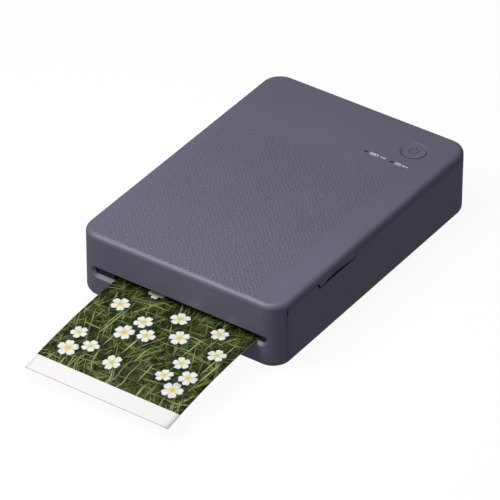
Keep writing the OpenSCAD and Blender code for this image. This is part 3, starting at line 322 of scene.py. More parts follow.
# %% [markdown]
# ## Steel, brass and aluminium
#
# Rolled and turned metal shows fine lines in one direction. A plate is rolled along its length, and
# a shaft is turned round its axis, so the lines run along the one and round the other. Anisotropic
# gloss would stretch the highlights, but it leaves the lines out. Noise on coordinates that are
# stretched along the lines draws them, and a second, even noise dulls the metal in patches.


# %% Metals
def brushed_metal(name, colour, rough, stretch, size=0.5, depth=0.004, spread=0.08):
    """Metal with fine lines; a small stretch in a direction makes them long in it."""
    material, tree, shader = new_finish(name)
    lines = noise(tree, millimetres(tree, stretch), size, 3.0, 0.6)
    dull = noise(tree, millimetres(tree), 9.0, 3.0, 0.6, 0.4)
    bright = mix_colours(tree, levels(tree, lines, 0.3, 0.7),
                         darker(colour, 1 - spread), darker(colour, 1 + spread / 2))
    link(tree, mix_colours(tree, levels(tree, dull, 0.45, 0.8, 0.0, 0.35), bright,
                           darker(colour, 0.8)), shader, "Base Color")
    link(tree, levels(tree, lines, 0.25, 0.75, rough - 0.06, rough + 0.08), shader, "Roughness")
    shader.inputs["Metallic"].default_value = 1.0
    relief(tree, shader, lines, depth, 0.5)
    return material


ALONG_X, ROUND_X, EVEN = (0.06, 1.4, 1.4), (2.5, 0.2, 0.2), (1, 1, 1)
metals = {
    "steel": brushed_metal("plate_steel", (0.50, 0.51, 0.53), 0.34, (1.4, 0.06, 0.4)),
    "roller_steel": brushed_metal("shaft_steel", (0.62, 0.62, 0.64), 0.22, ROUND_X),
    "screw_steel": brushed_metal("screw_steel", (0.33, 0.33, 0.35), 0.36, EVEN, 0.3),
    "spring_steel": brushed_metal("spring_steel", (0.42, 0.42, 0.44), 0.30, EVEN, 0.4),
    "port_steel": brushed_metal("port_steel", (0.55, 0.55, 0.57), 0.26, (1, 0.08, 1), 0.3),
    "motor_steel": brushed_metal("motor_steel", (0.46, 0.47, 0.49), 0.32, ROUND_X, 0.7),
    "brass": brushed_metal("pinion_brass", (0.66, 0.48, 0.20), 0.28, ROUND_X, 0.3),
    "aluminium": brushed_metal("drawn_aluminium", (0.72, 0.73, 0.75), 0.33, ALONG_X, 0.4),
}
print("metals:", sorted(metals))

# %% [markdown]
# ## Rubber and inner plastics
#
# Moulded rubber is nearly black and dull, with a ground surface on the rollers. The plastics inside
# the machine are coarser than the case, because nobody sees them: glass-filled black for the tray
# and the paper guide, smoother black for the cassette, and slick white for gears and spools. Each
# could be a recipe of its own, but they differ only in colour, gloss and the size of the grain, so
# the recipe of the case serves for all of them.

# %% Rubber and inner plastics
finishes = dict(metals)
finishes["case_plastic"] = case_plastic
finishes["rubber"] = satin_plastic("foot_rubber", (0.028, 0.028, 0.031), 0.5, 0.03, 0.78, 0.12)
finishes["roller_rubber"] = satin_plastic("roller_rubber", (0.035, 0.034, 0.036), 0.16, 0.02,
                                          0.7, 0.1)
finishes["black_plastic"] = satin_plastic("black_plastic", (0.022, 0.022, 0.026), 0.6, 0.03,
                                          0.55, 0.1)
finishes["cassette_plastic"] = satin_plastic("cassette_plastic", (0.045, 0.045, 0.052), 0.35,
                                             0.015, 0.42, 0.06)
finishes["gear_plastic"] = satin_plastic("gear_plastic", (0.74, 0.72, 0.66), 0.5, 0.01, 0.36, 0.05)
finishes["spool_plastic"] = satin_plastic("spool_plastic", (0.62, 0.62, 0.60), 0.5, 0.01, 0.4,
                                          0.05)
finishes["ceramic"] = satin_plastic("head_ceramic", (0.66, 0.62, 0.55), 0.2, 0.006, 0.25, 0.05)
print("finishes so far:", len(finishes))

# %% [markdown]
# ## Painted shade in the engraved sign and in the side cover's seam
#
# Two places on the case are darker than the rest, by painted shade. The power sign on the button is
# engraved, and the floor of its grooves is painted dark as shade. The upper edge of the side cover
# lies in the shade of the top cover, and painted shade darkens it, most of all in the deep gap of
# the finger recess. The faces could be picked out and given a second material, but a mask made of
# the place needs no picking.
# It lies over the colour that the finish has already, so the plastic's grain goes on through it.

# %% Plastic with painted shade
# The colour of the painted shade in the sign's engraving and along the side cover's seam.
PAINTED_SHADE_COLOUR = (0.004, 0.004, 0.006)


def painted_shade_plastic(name, mask_maker, share):
    """The case plastic, with painted shade where the mask is 1."""
    material = satin_plastic(name, CASE_VIOLET)
    tree = material.node_tree
    shader = tree.nodes["Principled BSDF"]
    plain = shader.inputs["Base Color"].links[0].from_socket
    axes = add_node(tree, "ShaderNodeSeparateXYZ", {0: millimetres(tree)}).outputs
    shade = maths(tree, "MULTIPLY", mask_maker(tree, *axes), share)
    link(tree, mix_colours(tree, shade, plain, PAINTED_SHADE_COLOUR), shader, "Base Color")
    return material


print("shade colour:", PAINTED_SHADE_COLOUR)

# %% [markdown]
# The sign's mask is 1 inside a circle about the button's middle and below its face, so only the
# floor of the engraving gets painted shade. The seam's mask is 1 on the cover's top edge and, more
# strongly, on the inner part of the recess's edge, where it paints the shade of the gap. The boxes
# of the CAD pieces say where both are.

# %% Painted shade in the sign and the seam
SIGN_RADIUS, SIGN_DEPTH = 3.0, 0.1
EDGE_SHADE, RECESS_DEPTH, RECESS_INSET = 0.35, 3.4, 0.24
button_low, button_high = (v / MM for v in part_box("power_button"))
door_low, door_high = (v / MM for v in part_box("cassette_door"))


# Painted shade on the floor of the engraved power sign.
def sign_shade_mask(tree, x, y, z):
    middle = (button_low + button_high) / 2
    side = maths(tree, "SUBTRACT", x, middle.x)
    ahead = maths(tree, "SUBTRACT", y, middle.y)
    away = maths(tree, "SQRT", maths(tree, "ADD", maths(tree, "MULTIPLY", side, side),
                                     maths(tree, "MULTIPLY", ahead, ahead)))
    bottom = button_high.z - SIGN_DEPTH
    sunk = levels(tree, z, bottom - 0.02, bottom + 0.02, 1.0, 0.0)
    return maths(tree, "MULTIPLY", sunk,
                 levels(tree, away, SIGN_RADIUS - 0.1, SIGN_RADIUS, 1.0, 0.0))


# Painted shade of the gap along the side cover's top edge, strongest in the finger recess.
def seam_shade_mask(tree, x, y, z):
    top_edge = levels(tree, z, door_high.z - 0.06, door_high.z - 0.03)
    inset = door_high.x - RECESS_INSET
    inside = levels(tree, x, inset, inset + 0.06, 1.0, 0.0)
    floor = door_high.z - RECESS_DEPTH
    recess = levels(tree, z, floor, floor + 0.1)
    return maths(tree, "MAXIMUM", maths(tree, "MULTIPLY", top_edge, EDGE_SHADE),
                 maths(tree, "MULTIPLY", inside, recess))


finishes["button_plastic"] = painted_shade_plastic("button_plastic", sign_shade_mask, 0.85)
side_cover_painted_shade = painted_shade_plastic("side_cover_painted_shade", seam_shade_mask, 0.85)
print("made", finishes["button_plastic"].name, "and", side_cover_painted_shade.name)

# %% [markdown]
# ## Lamp windows
#
# A lamp that is off looks like a small dark slot: the window is smoked clear plastic, glossy, and
# the light guide under it is deep in shadow. Real glass with a guide below would cost many samples
# for two spots of a millimetre. A dark base with a clear coat gives the same look.


# %% Lamps
def smoked_window():
    material, tree, shader = new_finish("lamp_window")
    cloud = noise(tree, millimetres(tree), 0.8, 2.0)
    link(tree, mix_colours(tree, cloud, (0.010, 0.010, 0.014), (0.022, 0.021, 0.028)),
         shader, "Base Color")
    vary_gloss(tree, shader, cloud, 0.22, 0.32)
    shader.inputs["Coat Weight"].default_value = 0.5
    shader.inputs["Coat Roughness"].default_value = 0.12
    relief(tree, shader, cloud, 0.01, 0.3)
    return material


finishes["lamp"] = smoked_window()
print("made", finishes["lamp"].name)

# %% [markdown]
# ## Circuit board
#
# The board, its chips and its lamps are one CAD piece, so one material has to tell them apart. The
# height does it: everything above the board's top face is a chip. On the board itself thin copper
# tracks show through the green lacquer. Each could be drawn as a line, but only a glimpse of the
# board is ever seen, and bands round square Voronoi cells turn corners as tracks do.

# %% Circuit board
BOARD_T, TRACK_SCALE, TRACK_BANDS = 1.2, 0.45, 3.0
board_low, board_high = (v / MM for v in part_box("main_board"))
BOARD_TOP = board_low.z + BOARD_T


def circuit_board():
    material, tree, shader = new_finish("circuit_board")
    spot = millimetres(tree)
    height = add_node(tree, "ShaderNodeSeparateXYZ", {0: spot}).outputs["Z"]
    tracks = add_node(tree, "ShaderNodeTexVoronoi", {
        "Vector": millimetres(tree, (1, 1, 0)), "Scale": TRACK_SCALE, "Randomness": 0.75},
        feature="F1", distance="CHEBYCHEV").outputs["Distance"]
    bands = maths(tree, "FRACT", maths(tree, "MULTIPLY", tracks, TRACK_BANDS))
    copper = levels(tree, bands, 0.42, 0.5)
    lacquer = mix_colours(tree, copper, (0.010, 0.085, 0.036), (0.028, 0.155, 0.060))
    speckle = noise(tree, spot, 0.5, 2.0)
    chip = mix_colours(tree, speckle, (0.016, 0.016, 0.018), (0.032, 0.032, 0.034))
    is_chip = levels(tree, height, BOARD_TOP + 0.05, BOARD_TOP + 0.1)
    link(tree, mix_colours(tree, is_chip, lacquer, chip), shader, "Base Color")
    link(tree, levels(tree, is_chip, 0, 1, 0.28, 0.55), shader, "Roughness")
    relief(tree, shader, maths(tree, "ADD", copper, maths(tree, "MULTIPLY", speckle, 0.2)),
           0.02, 0.4)
    return material


finishes["circuit_board"] = circuit_board()
print("board top at", round(BOARD_TOP, 2), "mm")

# %% [markdown]
# ## Battery wrap and ribbon
#
# The battery pack is wrapped in thin blue-grey film that is wrinkled a little where it was shrunk.
# The ribbon is a film too: yellow dye on the supply roll, and a darker used film on the other. The
# wrinkles could be modelled, but they are a twentieth of a millimetre high, so a bump shows them as
# well. On the rolls the same noise, long in X, makes faint marks across the film.


# %% Films
def thin_film(name, colour, other, stretch, rough=0.3, depth=0.05, size=6.0):
    """Glossy film with soft wrinkles, between two colours."""
    material, tree, shader = new_finish(name)
    wave = noise(tree, millimetres(tree, stretch), size, 4.0, 0.55, 0.6)
    link(tree, mix_colours(tree, levels(tree, wave, 0.35, 0.65), colour, other),
         shader, "Base Color")
    vary_gloss(tree, shader, wave, rough - 0.05, rough + 0.07)
    relief(tree, shader, wave, depth, 0.5)
    return material


finishes["battery_wrap"] = thin_film("battery_wrap", (0.075, 0.095, 0.15), (0.09, 0.11, 0.17), EVEN)
finishes["ribbon"] = thin_film("dye_ribbon", (0.56, 0.42, 0.03), (0.62, 0.48, 0.05),
                               (0.15, 1, 1), 0.22, 0.02, 3.0)
finishes["used_ribbon"] = thin_film("used_ribbon", (0.030, 0.022, 0.034), (0.05, 0.03, 0.045),
                                    (0.15, 1, 1), 0.25, 0.02, 3.0)
print("finishes so far:", len(finishes))

# %% [markdown]
# ## Paper
#
# Photo paper is a stiff white sheet with a resin coat. Its back is matt with very fine fibres, and
# the cut edges of a stack make thin level lines. The stack is one block, as ten loose sheets would
# only add faces; a noise stretched in X and Y draws the edges on it.


# %% Blank paper
def blank_paper():
    material, tree, shader = new_finish("photo_paper")
    layers = noise(tree, millimetres(tree, (0.05, 0.05, 4.0)), 1.0, 2.0)
    fibres = noise(tree, millimetres(tree), 0.3, 3.0)
    link(tree, mix_colours(tree, levels(tree, layers, 0.3, 0.7), (0.76, 0.76, 0.77),
                           (0.81, 0.81, 0.815)), shader, "Base Color")
    vary_gloss(tree, shader, fibres, 0.5, 0.62)
    relief(tree, shader, fibres, 0.01, 0.4)
    return material


finishes["paper"] = blank_paper()
print("made", finishes["paper"].name)

# %% [markdown]
# ## The picture on the print
#
# The print shows a meadow: long thin blades of grass that cross each other, with white blossoms.
# This one is our own design, five-petalled blossoms in a layout of its own. It is drawn in the
# shader, on the sheet's UV map in millimetres, in the order of a painter: dark ground first, then
# blades in many directions, and the blossoms last with a soft shadow under each.
#
# Painting it would need an image file, and modelling each blade tens of thousands of faces under a
# flat sheet. The picture is built in two node groups, made once and used again with other values.


# %% Helper for groups
def new_group(name, inputs, outputs):
    """A node group with float, vector or colour sockets; gives its tree and both ends."""
    group = bpy.data.node_groups.new(name, "ShaderNodeTree")
    kinds = {"float": "NodeSocketFloat", "vector": "NodeSocketVector", "colour": "NodeSocketColor"}
    for socket, kind in inputs:
        group.interface.new_socket(socket, in_out="INPUT", socket_type=kinds[kind])
    for socket, kind in outputs:
        group.interface.new_socket(socket, in_out="OUTPUT", socket_type=kinds[kind])
    return group, group.nodes.new("NodeGroupInput"), group.nodes.new("NodeGroupOutput")


print("helper for groups: new_group")

# %% [markdown]
# A blade is a very stretched noise of which only the peaks are kept. The place is turned to the
# blade's direction, with a slow swing so that blades bend, and then divided by its width and
# length. A second noise gives each blade its own green, and the flanks of the same peaks are the
# shade that a blade throws on what lies below it.

# %% Grass group
GRASS_MIDDLE, GRASS_SWING = (36, 42, 0), 0.35


def grass_group():
    group, given, result = new_group(
        "grass_blades", [("Place", "vector"), ("Angle", "float"), ("Width", "float"),
                         ("Length", "float"), ("Layer", "float"), ("Cut", "float")],
        [("Blades", "float"), ("Tone", "float"), ("Shade", "float")])
    bend = add_node(group, "ShaderNodeTexNoise", {
        "Vector": given.outputs["Place"], "Scale": 0.05, "Detail": 1.0})
    swing = maths(group, "MULTIPLY", maths(group, "SUBTRACT", bend.outputs["Fac"], 0.5),
                  GRASS_SWING)
    turned = add_node(group, "ShaderNodeVectorRotate", {
        "Vector": given.outputs["Place"], "Center": GRASS_MIDDLE,
        "Angle": maths(group, "ADD", given.outputs["Angle"], swing)}, rotation_type="Z_AXIS")
    parts = add_node(group, "ShaderNodeSeparateXYZ", {0: turned.outputs[0]})
    narrow = add_node(group, "ShaderNodeCombineXYZ", {
        0: maths(group, "DIVIDE", parts.outputs["X"], given.outputs["Width"]),
        1: maths(group, "DIVIDE", parts.outputs["Y"], given.outputs["Length"]),
        2: given.outputs["Layer"]})
    streak = add_node(group, "ShaderNodeTexNoise", {
        "Vector": narrow.outputs[0], "Scale": 0.5, "Detail": 1.5, "Roughness": 0.5,
        "Distortion": 0.25}).outputs["Fac"]
    high = maths(group, "ADD", given.outputs["Cut"], 0.035)
    mask = add_node(group, "ShaderNodeMapRange", {
        "Value": streak, "From Min": given.outputs["Cut"], "From Max": high})
    tone = add_node(group, "ShaderNodeTexNoise", {
        "Vector": narrow.outputs[0], "Scale": 0.21, "Detail": 1.0}).outputs["Fac"]
    low = maths(group, "SUBTRACT", given.outputs["Cut"], 0.07)
    shade = add_node(group, "ShaderNodeMapRange", {
        "Value": streak, "From Min": low, "From Max": given.outputs["Cut"]})
    group.links.new(shade.outputs["Result"], result.inputs["Shade"])
    group.links.new(mask.outputs["Result"], result.inputs["Blades"])
    group.links.new(levels(group, tone, 0.3, 0.7), result.inputs["Tone"])
    return group


grass_blades = grass_group()
print("group:", grass_blades.name)

# %% [markdown]
# A blossom is a shape in polar coordinates. The cosine of two and a half times the angle has five
# equal humps in a turn, which gives five petals, and a high power of it takes a small notch out of
# each tip. A mesh of petals would be as good up close, but it would lie on the paper like a
# sticker. The first group turns the place into a distance from the middle, in radii, and an angle.

# %% Distance and angle in a blossom
PETALS, VEINS_ROUND, STAMENS = 5, 45.0, 12.0


def blossom_polar(group, given):
    off = add_node(group, "ShaderNodeVectorMath", {
        0: given.outputs["Place"], 1: given.outputs["Centre"]}, operation="SUBTRACT").outputs[0]
    faced = add_node(group, "ShaderNodeVectorRotate", {
        "Vector": off, "Angle": given.outputs["Turn"]}, rotation_type="Z_AXIS").outputs[0]
    tipped = add_node(group, "ShaderNodeCombineXYZ", {0: given.outputs["Narrow"], 1: 1.0})
    off = add_node(group, "ShaderNodeVectorMath", {0: faced, 1: tipped.outputs[0]},
                   operation="MULTIPLY").outputs[0]
    radius = add_node(group, "ShaderNodeVectorMath", {0: off}, operation="LENGTH").outputs["Value"]
    radius = maths(group, "DIVIDE", radius, given.outputs["Size"])
    parts = add_node(group, "ShaderNodeSeparateXYZ", {0: off})
    angle = maths(group, "ADD", maths(group, "ARCTAN2", parts.outputs["Y"], parts.outputs["X"]),
                  given.outputs["Turn"])
    return radius, angle


def petal_edge(group, lobe, wobble):
    """How far the petals reach at each angle, in radii."""
    reach = maths(group, "ADD", maths(group, "MULTIPLY", maths(group, "POWER", lobe, 0.55), 0.52),
                  maths(group, "MULTIPLY", wobble, 0.16))
    reach = maths(group, "ADD", reach, 0.40)
    return maths(group, "SUBTRACT", reach,
                 maths(group, "MULTIPLY", maths(group, "POWER", lobe, 14.0), 0.10))


print("petals:", PETALS, "stamens:", STAMENS)

# %% [markdown]
# Inside, the petals are shaded towards their seams and a little along their veins. A ring of dots
# stands round the yellow heart. The group takes the colour below the blossom, darkens it close to
# the petals and lays the flower on top, so that blossoms can be stacked like layers of paint.


# %% Blossom group
def petal_white(group, place, radius, angle, lobe):
    """The petals' colours, from the veins inward."""
    veins = maths(group, "COSINE", maths(group, "MULTIPLY", angle, VEINS_ROUND))
    white = mix_colours(group, levels(group, veins, 0.2, 1.0, 0.0, 0.16),
                        (0.74, 0.75, 0.73), (0.50, 0.53, 0.48))
    soft = noise(group, place, 2.4, 2.0)
    white = mix_colours(group, levels(group, soft, 0.45, 0.7, 0.0, 0.4), white,
                        (0.46, 0.49, 0.46))
    white = mix_colours(group, levels(group, lobe, 0.0, 0.55, 0.55, 0.0), white,
                        (0.28, 0.33, 0.21))
    return mix_colours(group, levels(group, radius, 0.18, 0.5, 0.7, 0.0), white,
                       (0.62, 0.63, 0.30))


def blossom_group():
    group, given, result = new_group(
        "meadow_blossom", [("Below", "colour"), ("Place", "vector"), ("Centre", "vector"),
                           ("Size", "float"), ("Turn", "float"), ("Narrow", "float")],
        [("Colour", "colour")])
    place = given.outputs["Place"]
    radius, angle = blossom_polar(group, given)
    lobe = maths(group, "ABSOLUTE",
                 maths(group, "COSINE", maths(group, "MULTIPLY", angle, PETALS / 2)))
    wobble = noise(group, place, 1.6, 2.0)
    petals = levels(group, maths(group, "SUBTRACT", petal_edge(group, lobe, wobble), radius),
                    -0.02, 0.05)
    dots = maths(group, "COSINE", maths(group, "MULTIPLY", angle, STAMENS))
    ring = levels(group, maths(group, "ABSOLUTE", maths(group, "SUBTRACT", radius, 0.34)),
                  0.03, 0.06, 1.0, 0.0)
    stamens = maths(group, "MULTIPLY", ring, levels(group, dots, 0.3, 0.7))
    heart = maths(group, "MAXIMUM", levels(group, radius, 0.22, 0.27, 1.0, 0.0), stamens)
    yellow = mix_colours(group, wobble, (0.72, 0.52, 0.06), (0.55, 0.50, 0.12))
    flower = mix_colours(group, heart, petal_white(group, place, radius, angle, lobe), yellow)
    shade = levels(group, radius, 0.75, 1.5, 0.75, 0.0)
    ground = mix_colours(group, shade, given.outputs["Below"], (0.006, 0.010, 0.003))
    group.links.new(mix_colours(group, petals, ground, flower), result.inputs["Colour"])
    return group


meadow_blossom = blossom_group()
print("group:", meadow_blossom.name)

# %% [markdown]
# Ten layers of blades, from dark and broad to pale and thin, make the depth of a meadow. Directions
# and places are written down in two short lists, because a picture needs a balance that random
# numbers don't have.

# %% Plan of the picture
BLADES = [
    # angle, width, length, cut, dark green, light green
    (15, 1.1, 7, 0.50, (0.010, 0.018, 0.001), (0.049, 0.071, 0.007)),
    (75, 1.0, 6, 0.53, (0.016, 0.026, 0.002), (0.071, 0.098, 0.015)),
    (-40, 0.9, 7, 0.55, (0.014, 0.024, 0.002), (0.081, 0.112, 0.020)),
    (-8, 0.8, 8, 0.57, (0.022, 0.036, 0.004), (0.107, 0.137, 0.027)),
    (48, 0.7, 7, 0.585, (0.030, 0.046, 0.006), (0.146, 0.181, 0.044)),
    (-70, 0.7, 8, 0.595, (0.028, 0.044, 0.006), (0.140, 0.177, 0.041)),
    (28, 0.6, 10, 0.61, (0.060, 0.080, 0.018), (0.268, 0.305, 0.104)),
    (-25, 0.5, 10, 0.62, (0.080, 0.100, 0.026), (0.342, 0.378, 0.152)),
    (85, 0.5, 9, 0.625, (0.070, 0.090, 0.022), (0.305, 0.342, 0.134)),
    (5, 0.4, 13, 0.64, (0.160, 0.185, 0.070), (0.488, 0.525, 0.256)),
]
BLOSSOMS = [
    # across, along, radius, turn, narrowing
    (9.0, 17.5, 4.9, 0.3, 1.00), (16.5, 23.0, 4.2, 1.1, 1.15), (7.5, 27.5, 4.0, 0.7, 1.05),
    (30.0, 19.5, 4.6, 0.1, 1.10), (61.0, 18.5, 5.0, 0.5, 1.00), (53.0, 24.0, 4.3, 0.9, 1.20),
    (62.5, 27.5, 4.6, 0.0, 1.05), (55.0, 33.5, 4.0, 0.8, 1.00), (23.5, 37.0, 5.0, 0.4, 1.10),
    (32.5, 40.0, 4.3, 1.2, 1.00), (26.5, 46.5, 4.6, 0.6, 1.15), (45.0, 46.0, 4.8, 0.2, 1.05),
    (64.5, 45.0, 4.4, 1.0, 1.10), (11.5, 51.0, 4.5, 0.5, 1.00), (38.0, 56.5, 4.7, 0.9, 1.10),
    (57.5, 57.0, 4.2, 0.3, 1.00), (20.0, 66.0, 4.8, 0.1, 1.10), (48.0, 70.0, 4.5, 0.7, 1.00),
]
print("blossoms:", len(BLOSSOMS), "layers of blades:", len(BLADES))

# %% [markdown]
# The sheet is 72 mm wide and 85 mm long, and the picture leaves a white band at both ends. The
# bands are torn off later along a fine perforation, so each boundary is one straight line. A cut in
# the mesh could make it too, but a mask stays sharp however the sheet bends.

# %% Picture on the print
SHEET_W, SHEET_L, BAND = 72.0, 85.0, 8.5
BAND_WHITE = (0.78, 0.768, 0.745)


def meadow_print():
    material, tree, shader = new_finish("meadow_print")
    chart = add_node(tree, "ShaderNodeUVMap", uv_map="print_uv")
    spot = add_node(tree, "ShaderNodeVectorMath", {
        0: chart.outputs["UV"], 1: (SHEET_W, SHEET_L, 0)}, operation="MULTIPLY").outputs[0]
    clumps = noise(tree, spot, 7.0, 3.0)
    colour = mix_colours(tree, levels(tree, clumps, 0.35, 0.65), (0.006, 0.010, 0.003),
                         (0.022, 0.034, 0.008))
    for layer, (angle, width, length, cut, dark, light) in enumerate(BLADES):
        blades = add_node(tree, "ShaderNodeGroup", node_tree=grass_blades)
        tree.links.new(spot, blades.inputs["Place"])
        for key, value in (("Angle", math.radians(angle)), ("Width", width), ("Length", length),
                           ("Layer", 7.3 * layer), ("Cut", cut)):
            blades.inputs[key].default_value = value
        green = mix_colours(tree, blades.outputs["Tone"], dark, light)
        shaded = maths(tree, "MULTIPLY", blades.outputs["Shade"], 0.75)
        colour = mix_colours(tree, shaded, colour, (0.005, 0.007, 0.001))
        colour = mix_colours(tree, blades.outputs["Blades"], colour, green)
    for x, y, size, turn, narrow in BLOSSOMS:
        blossom = add_node(tree, "ShaderNodeGroup", node_tree=meadow_blossom)
        tree.links.new(colour, blossom.inputs["Below"])
        tree.links.new(spot, blossom.inputs["Place"])
        blossom.inputs["Centre"].default_value = (x, y, 0)
        blossom.inputs["Size"].default_value = size
        blossom.inputs["Turn"].default_value = turn
        blossom.inputs["Narrow"].default_value = narrow
        colour = blossom.outputs["Colour"]
    along = add_node(tree, "ShaderNodeSeparateXYZ", {0: spot}).outputs["Y"]
    middle = maths(tree, "ABSOLUTE", maths(tree, "SUBTRACT", along, SHEET_L / 2))
    band = levels(tree, middle, SHEET_L / 2 - BAND - 0.05, SHEET_L / 2 - BAND + 0.05)
    link(tree, mix_colours(tree, band, colour, BAND_WHITE), shader, "Base Color")
    gloss = noise(tree, spot, 3.0, 2.0)
    vary_gloss(tree, shader, gloss, 0.36, 0.42)
    shader.inputs["Specular IOR Level"].default_value = 0.12
    relief(tree, shader, gloss, 0.01, 0.3)
    return material


finishes["print"] = meadow_print()
print("made", finishes["print"].name, "with bands of", BAND, "mm")

# %% [markdown]
# ## The sheet itself
#
# The CAD sheet bends in two dozen straight steps. A finer grid bends smoothly and carries a UV map,
# so the picture follows the paper. A curve or a bend modifier could bend it, but they would need
# their own tuning to meet the slot. Here the grid is made flat, each vertex is lowered to the curve
# that the sheet hangs in, and then the grid is given its thickness.

# %% Printed sheet
FRONT_Y, SHEET_T, LEVEL = -72.9, 0.25, 0.7
sheet_low, sheet_high = (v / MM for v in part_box("printed_sheet"))
SHEET_OUT = FRONT_Y - sheet_low.y
DROOP = sheet_high.z - SHEET_T - sheet_low.z


def mesh_piece(name, mesh_builder, materials):
    """Turns a bmesh into a piece whose object stands at the origin."""
    mesh = bpy.data.meshes.new(name)
    mesh_builder.to_mesh(mesh)
    mesh_builder.free()
    for material in materials:
        mesh.materials.append(material)
    piece = bpy.data.objects.new(name, mesh)
    bpy.context.scene.collection.objects.link(piece)
    return piece


def printed_sheet():
    grid = bmesh.new()
    grid.loops.layers.uv.new("print_uv")
    bmesh.ops.create_grid(grid, x_segments=24, y_segments=96, size=0.5, calc_uvs=True)
    centre = Vector(((sheet_low.x + sheet_high.x) / 2, (sheet_low.y + sheet_high.y) / 2, 0)) * MM
    bmesh.ops.scale(grid, vec=(SHEET_W * MM, (sheet_high.y - sheet_low.y) * MM, 1),
                    verts=grid.verts)
    bmesh.ops.translate(grid, vec=centre, verts=grid.verts)
    for vertex in grid.verts:
        out = max(0.0, FRONT_Y - vertex.co.y / MM) / SHEET_OUT
        vertex.co.z = (sheet_high.z - DROOP * out * out) * MM
    bmesh.ops.recalc_face_normals(grid, faces=grid.faces)
    if sum(face.normal.z for face in grid.faces) < 0:
        bmesh.ops.reverse_faces(grid, faces=grid.faces)
    bmesh.ops.solidify(grid, geom=grid.faces[:], thickness=SHEET_T * MM)
    for face in grid.faces:
        face.smooth = abs(face.normal.z) > LEVEL
        face.material_index = 0 if face.normal.z > LEVEL else 1
    return mesh_piece("meadow_sheet", grid, [finishes["print"], finishes["paper"]])


meadow_sheet = printed_sheet()
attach(meadow_sheet, "print")
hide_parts("printed_sheet")
print("sheet faces:", len(meadow_sheet.data.polygons), "droop in mm:", round(DROOP, 2))

# %% [markdown]
# ## The print head's springs
#
# Two torsion springs on the head's shaft press the print head on the platen. In CAD each is a tube
# with an arm. A real one is round wire, wound in a helix, with its end bent towards the head. The
# shaft's box gives the helix its axis, and the far corner of the springs' box, a little inside it,
# is where the leg ends.

# %% Places of the springs
WIRE_R, COIL_R, COIL_L, COIL_TURNS, COIL_STEPS = 0.21, 1.75, 3.55, 8, 18
LEG_INSET, SECOND_COIL = 0.3, 4.0
spring_low, spring_high = (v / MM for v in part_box("head_springs"))
shaft_low, shaft_high = (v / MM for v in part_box("head_shaft"))
coil_y, coil_z = (shaft_low.y + shaft_high.y) / 2, (shaft_low.z + shaft_high.z) / 2


def leg_end(low, high, middle):
    """The side of the box that is farther from the middle, a little inside."""
    return high - LEG_INSET if high - middle > middle - low else low + LEG_INSET


leg_y = leg_end(spring_low.y, spring_high.y, coil_y)
leg_z = leg_end(spring_low.z, spring_high.z, coil_z)
print("coil axis in mm:", round(coil_y, 2), round(coil_z, 2), "leg:", round(leg_y, 2),
      round(leg_z, 2))

# %% [markdown]
# A curve with a round bevel could be the wire as well, but its end would have to be bent by hand.
# Spin makes a helix of a small ring when each step is also moved along the axis, which is what dvec
# is for. It starts at the angle from which eight full turns end where the leg leaves the coil, and
# the last ring is extruded into the leg, along the tangent, so that it leaves smoothly.


# %% Coiled springs
def wound_spring(coils, start_x):
    ring_r = COIL_R - WIRE_R
    far = math.hypot(leg_y - coil_y, leg_z - coil_z)
    last = math.atan2(leg_z - coil_z, leg_y - coil_y) - math.acos(ring_r / far)
    first = last - math.tau * COIL_TURNS
    outward = Vector((0, math.cos(first), math.sin(first)))
    onward = Vector((0, -math.sin(first), math.cos(first)))
    middle = Vector((start_x + COIL_L + WIRE_R, coil_y, coil_z)) + outward * ring_r
    stand = Matrix.Scale(MM, 4) @ Matrix((
        (1, outward.x, onward.x, middle.x), (0, outward.y, onward.y, middle.y),
        (0, outward.z, onward.z, middle.z), (0, 0, 0, 1)))
    ring = bmesh.ops.create_circle(coils, cap_ends=True, radius=WIRE_R, segments=8,
                                   matrix=stand)["verts"]
    cap = list(set(face for vertex in ring for face in vertex.link_faces))
    steps = COIL_TURNS * COIL_STEPS
    wound = bmesh.ops.spin(
        coils, geom=cap, cent=Vector((0, coil_y, coil_z)) * MM, axis=(1, 0, 0),
        dvec=Vector((-COIL_L / steps, 0, 0)) * MM, angle=math.tau * COIL_TURNS, steps=steps,
        use_merge=False, use_duplicate=False)
    end_ring = [part for part in wound["geom_last"] if isinstance(part, bmesh.types.BMFace)]
    leg = Vector((0, -math.sin(last), math.cos(last))) * math.sqrt(far ** 2 - ring_r ** 2)
    for share in (0.06, 0.94):
        end_ring = bmesh.ops.extrude_discrete_faces(coils, faces=end_ring)["faces"]
        bmesh.ops.translate(coils, vec=leg * share * MM,
                            verts=[vertex for face in end_ring for vertex in face.verts])


coils = bmesh.new()
for start_x in (spring_low.x, spring_high.x - SECOND_COIL):
    wound_spring(coils, start_x)
bmesh.ops.recalc_face_normals(coils, faces=coils.faces)
for face in coils.faces:
    face.smooth = len(face.verts) == 4
head_coils = mesh_piece("head_coils", coils, [finishes["spring_steel"]])
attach(head_coils, "head")
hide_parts("head_springs")
print("coil faces:", len(head_coils.data.polygons))

# %% [markdown]
# ## Signs beside the lamps
#
# The lamps have small pale signs printed beside them. Here they are plain pictograms: a battery
# with its charge for the first lamp, and a sheet with an arrow for the second. A mask in the top's
# material could print them, but flat shapes keep their edges sharp and stay easy to move. Ink has
# almost no thickness, so each is raised by a hundredth of a millimetre, and it is a little worn.

# %% Ink
INK_Z, INK_T, OUTLINE = TOP_Z - 0.005, 0.015, 0.24


def sign_ink():
    material, tree, shader = new_finish("sign_ink")
    worn = noise(tree, millimetres(tree), 0.25, 3.0, 0.6)
    link(tree, mix_colours(tree, levels(tree, worn, 0.45, 0.75, 0.0, 0.4), (0.74, 0.73, 0.79),
                           (0.46, 0.45, 0.50)), shader, "Base Color")
    vary_gloss(tree, shader, worn, 0.45, 0.55)
    relief(tree, shader, worn, 0.004, 0.3)
    return material


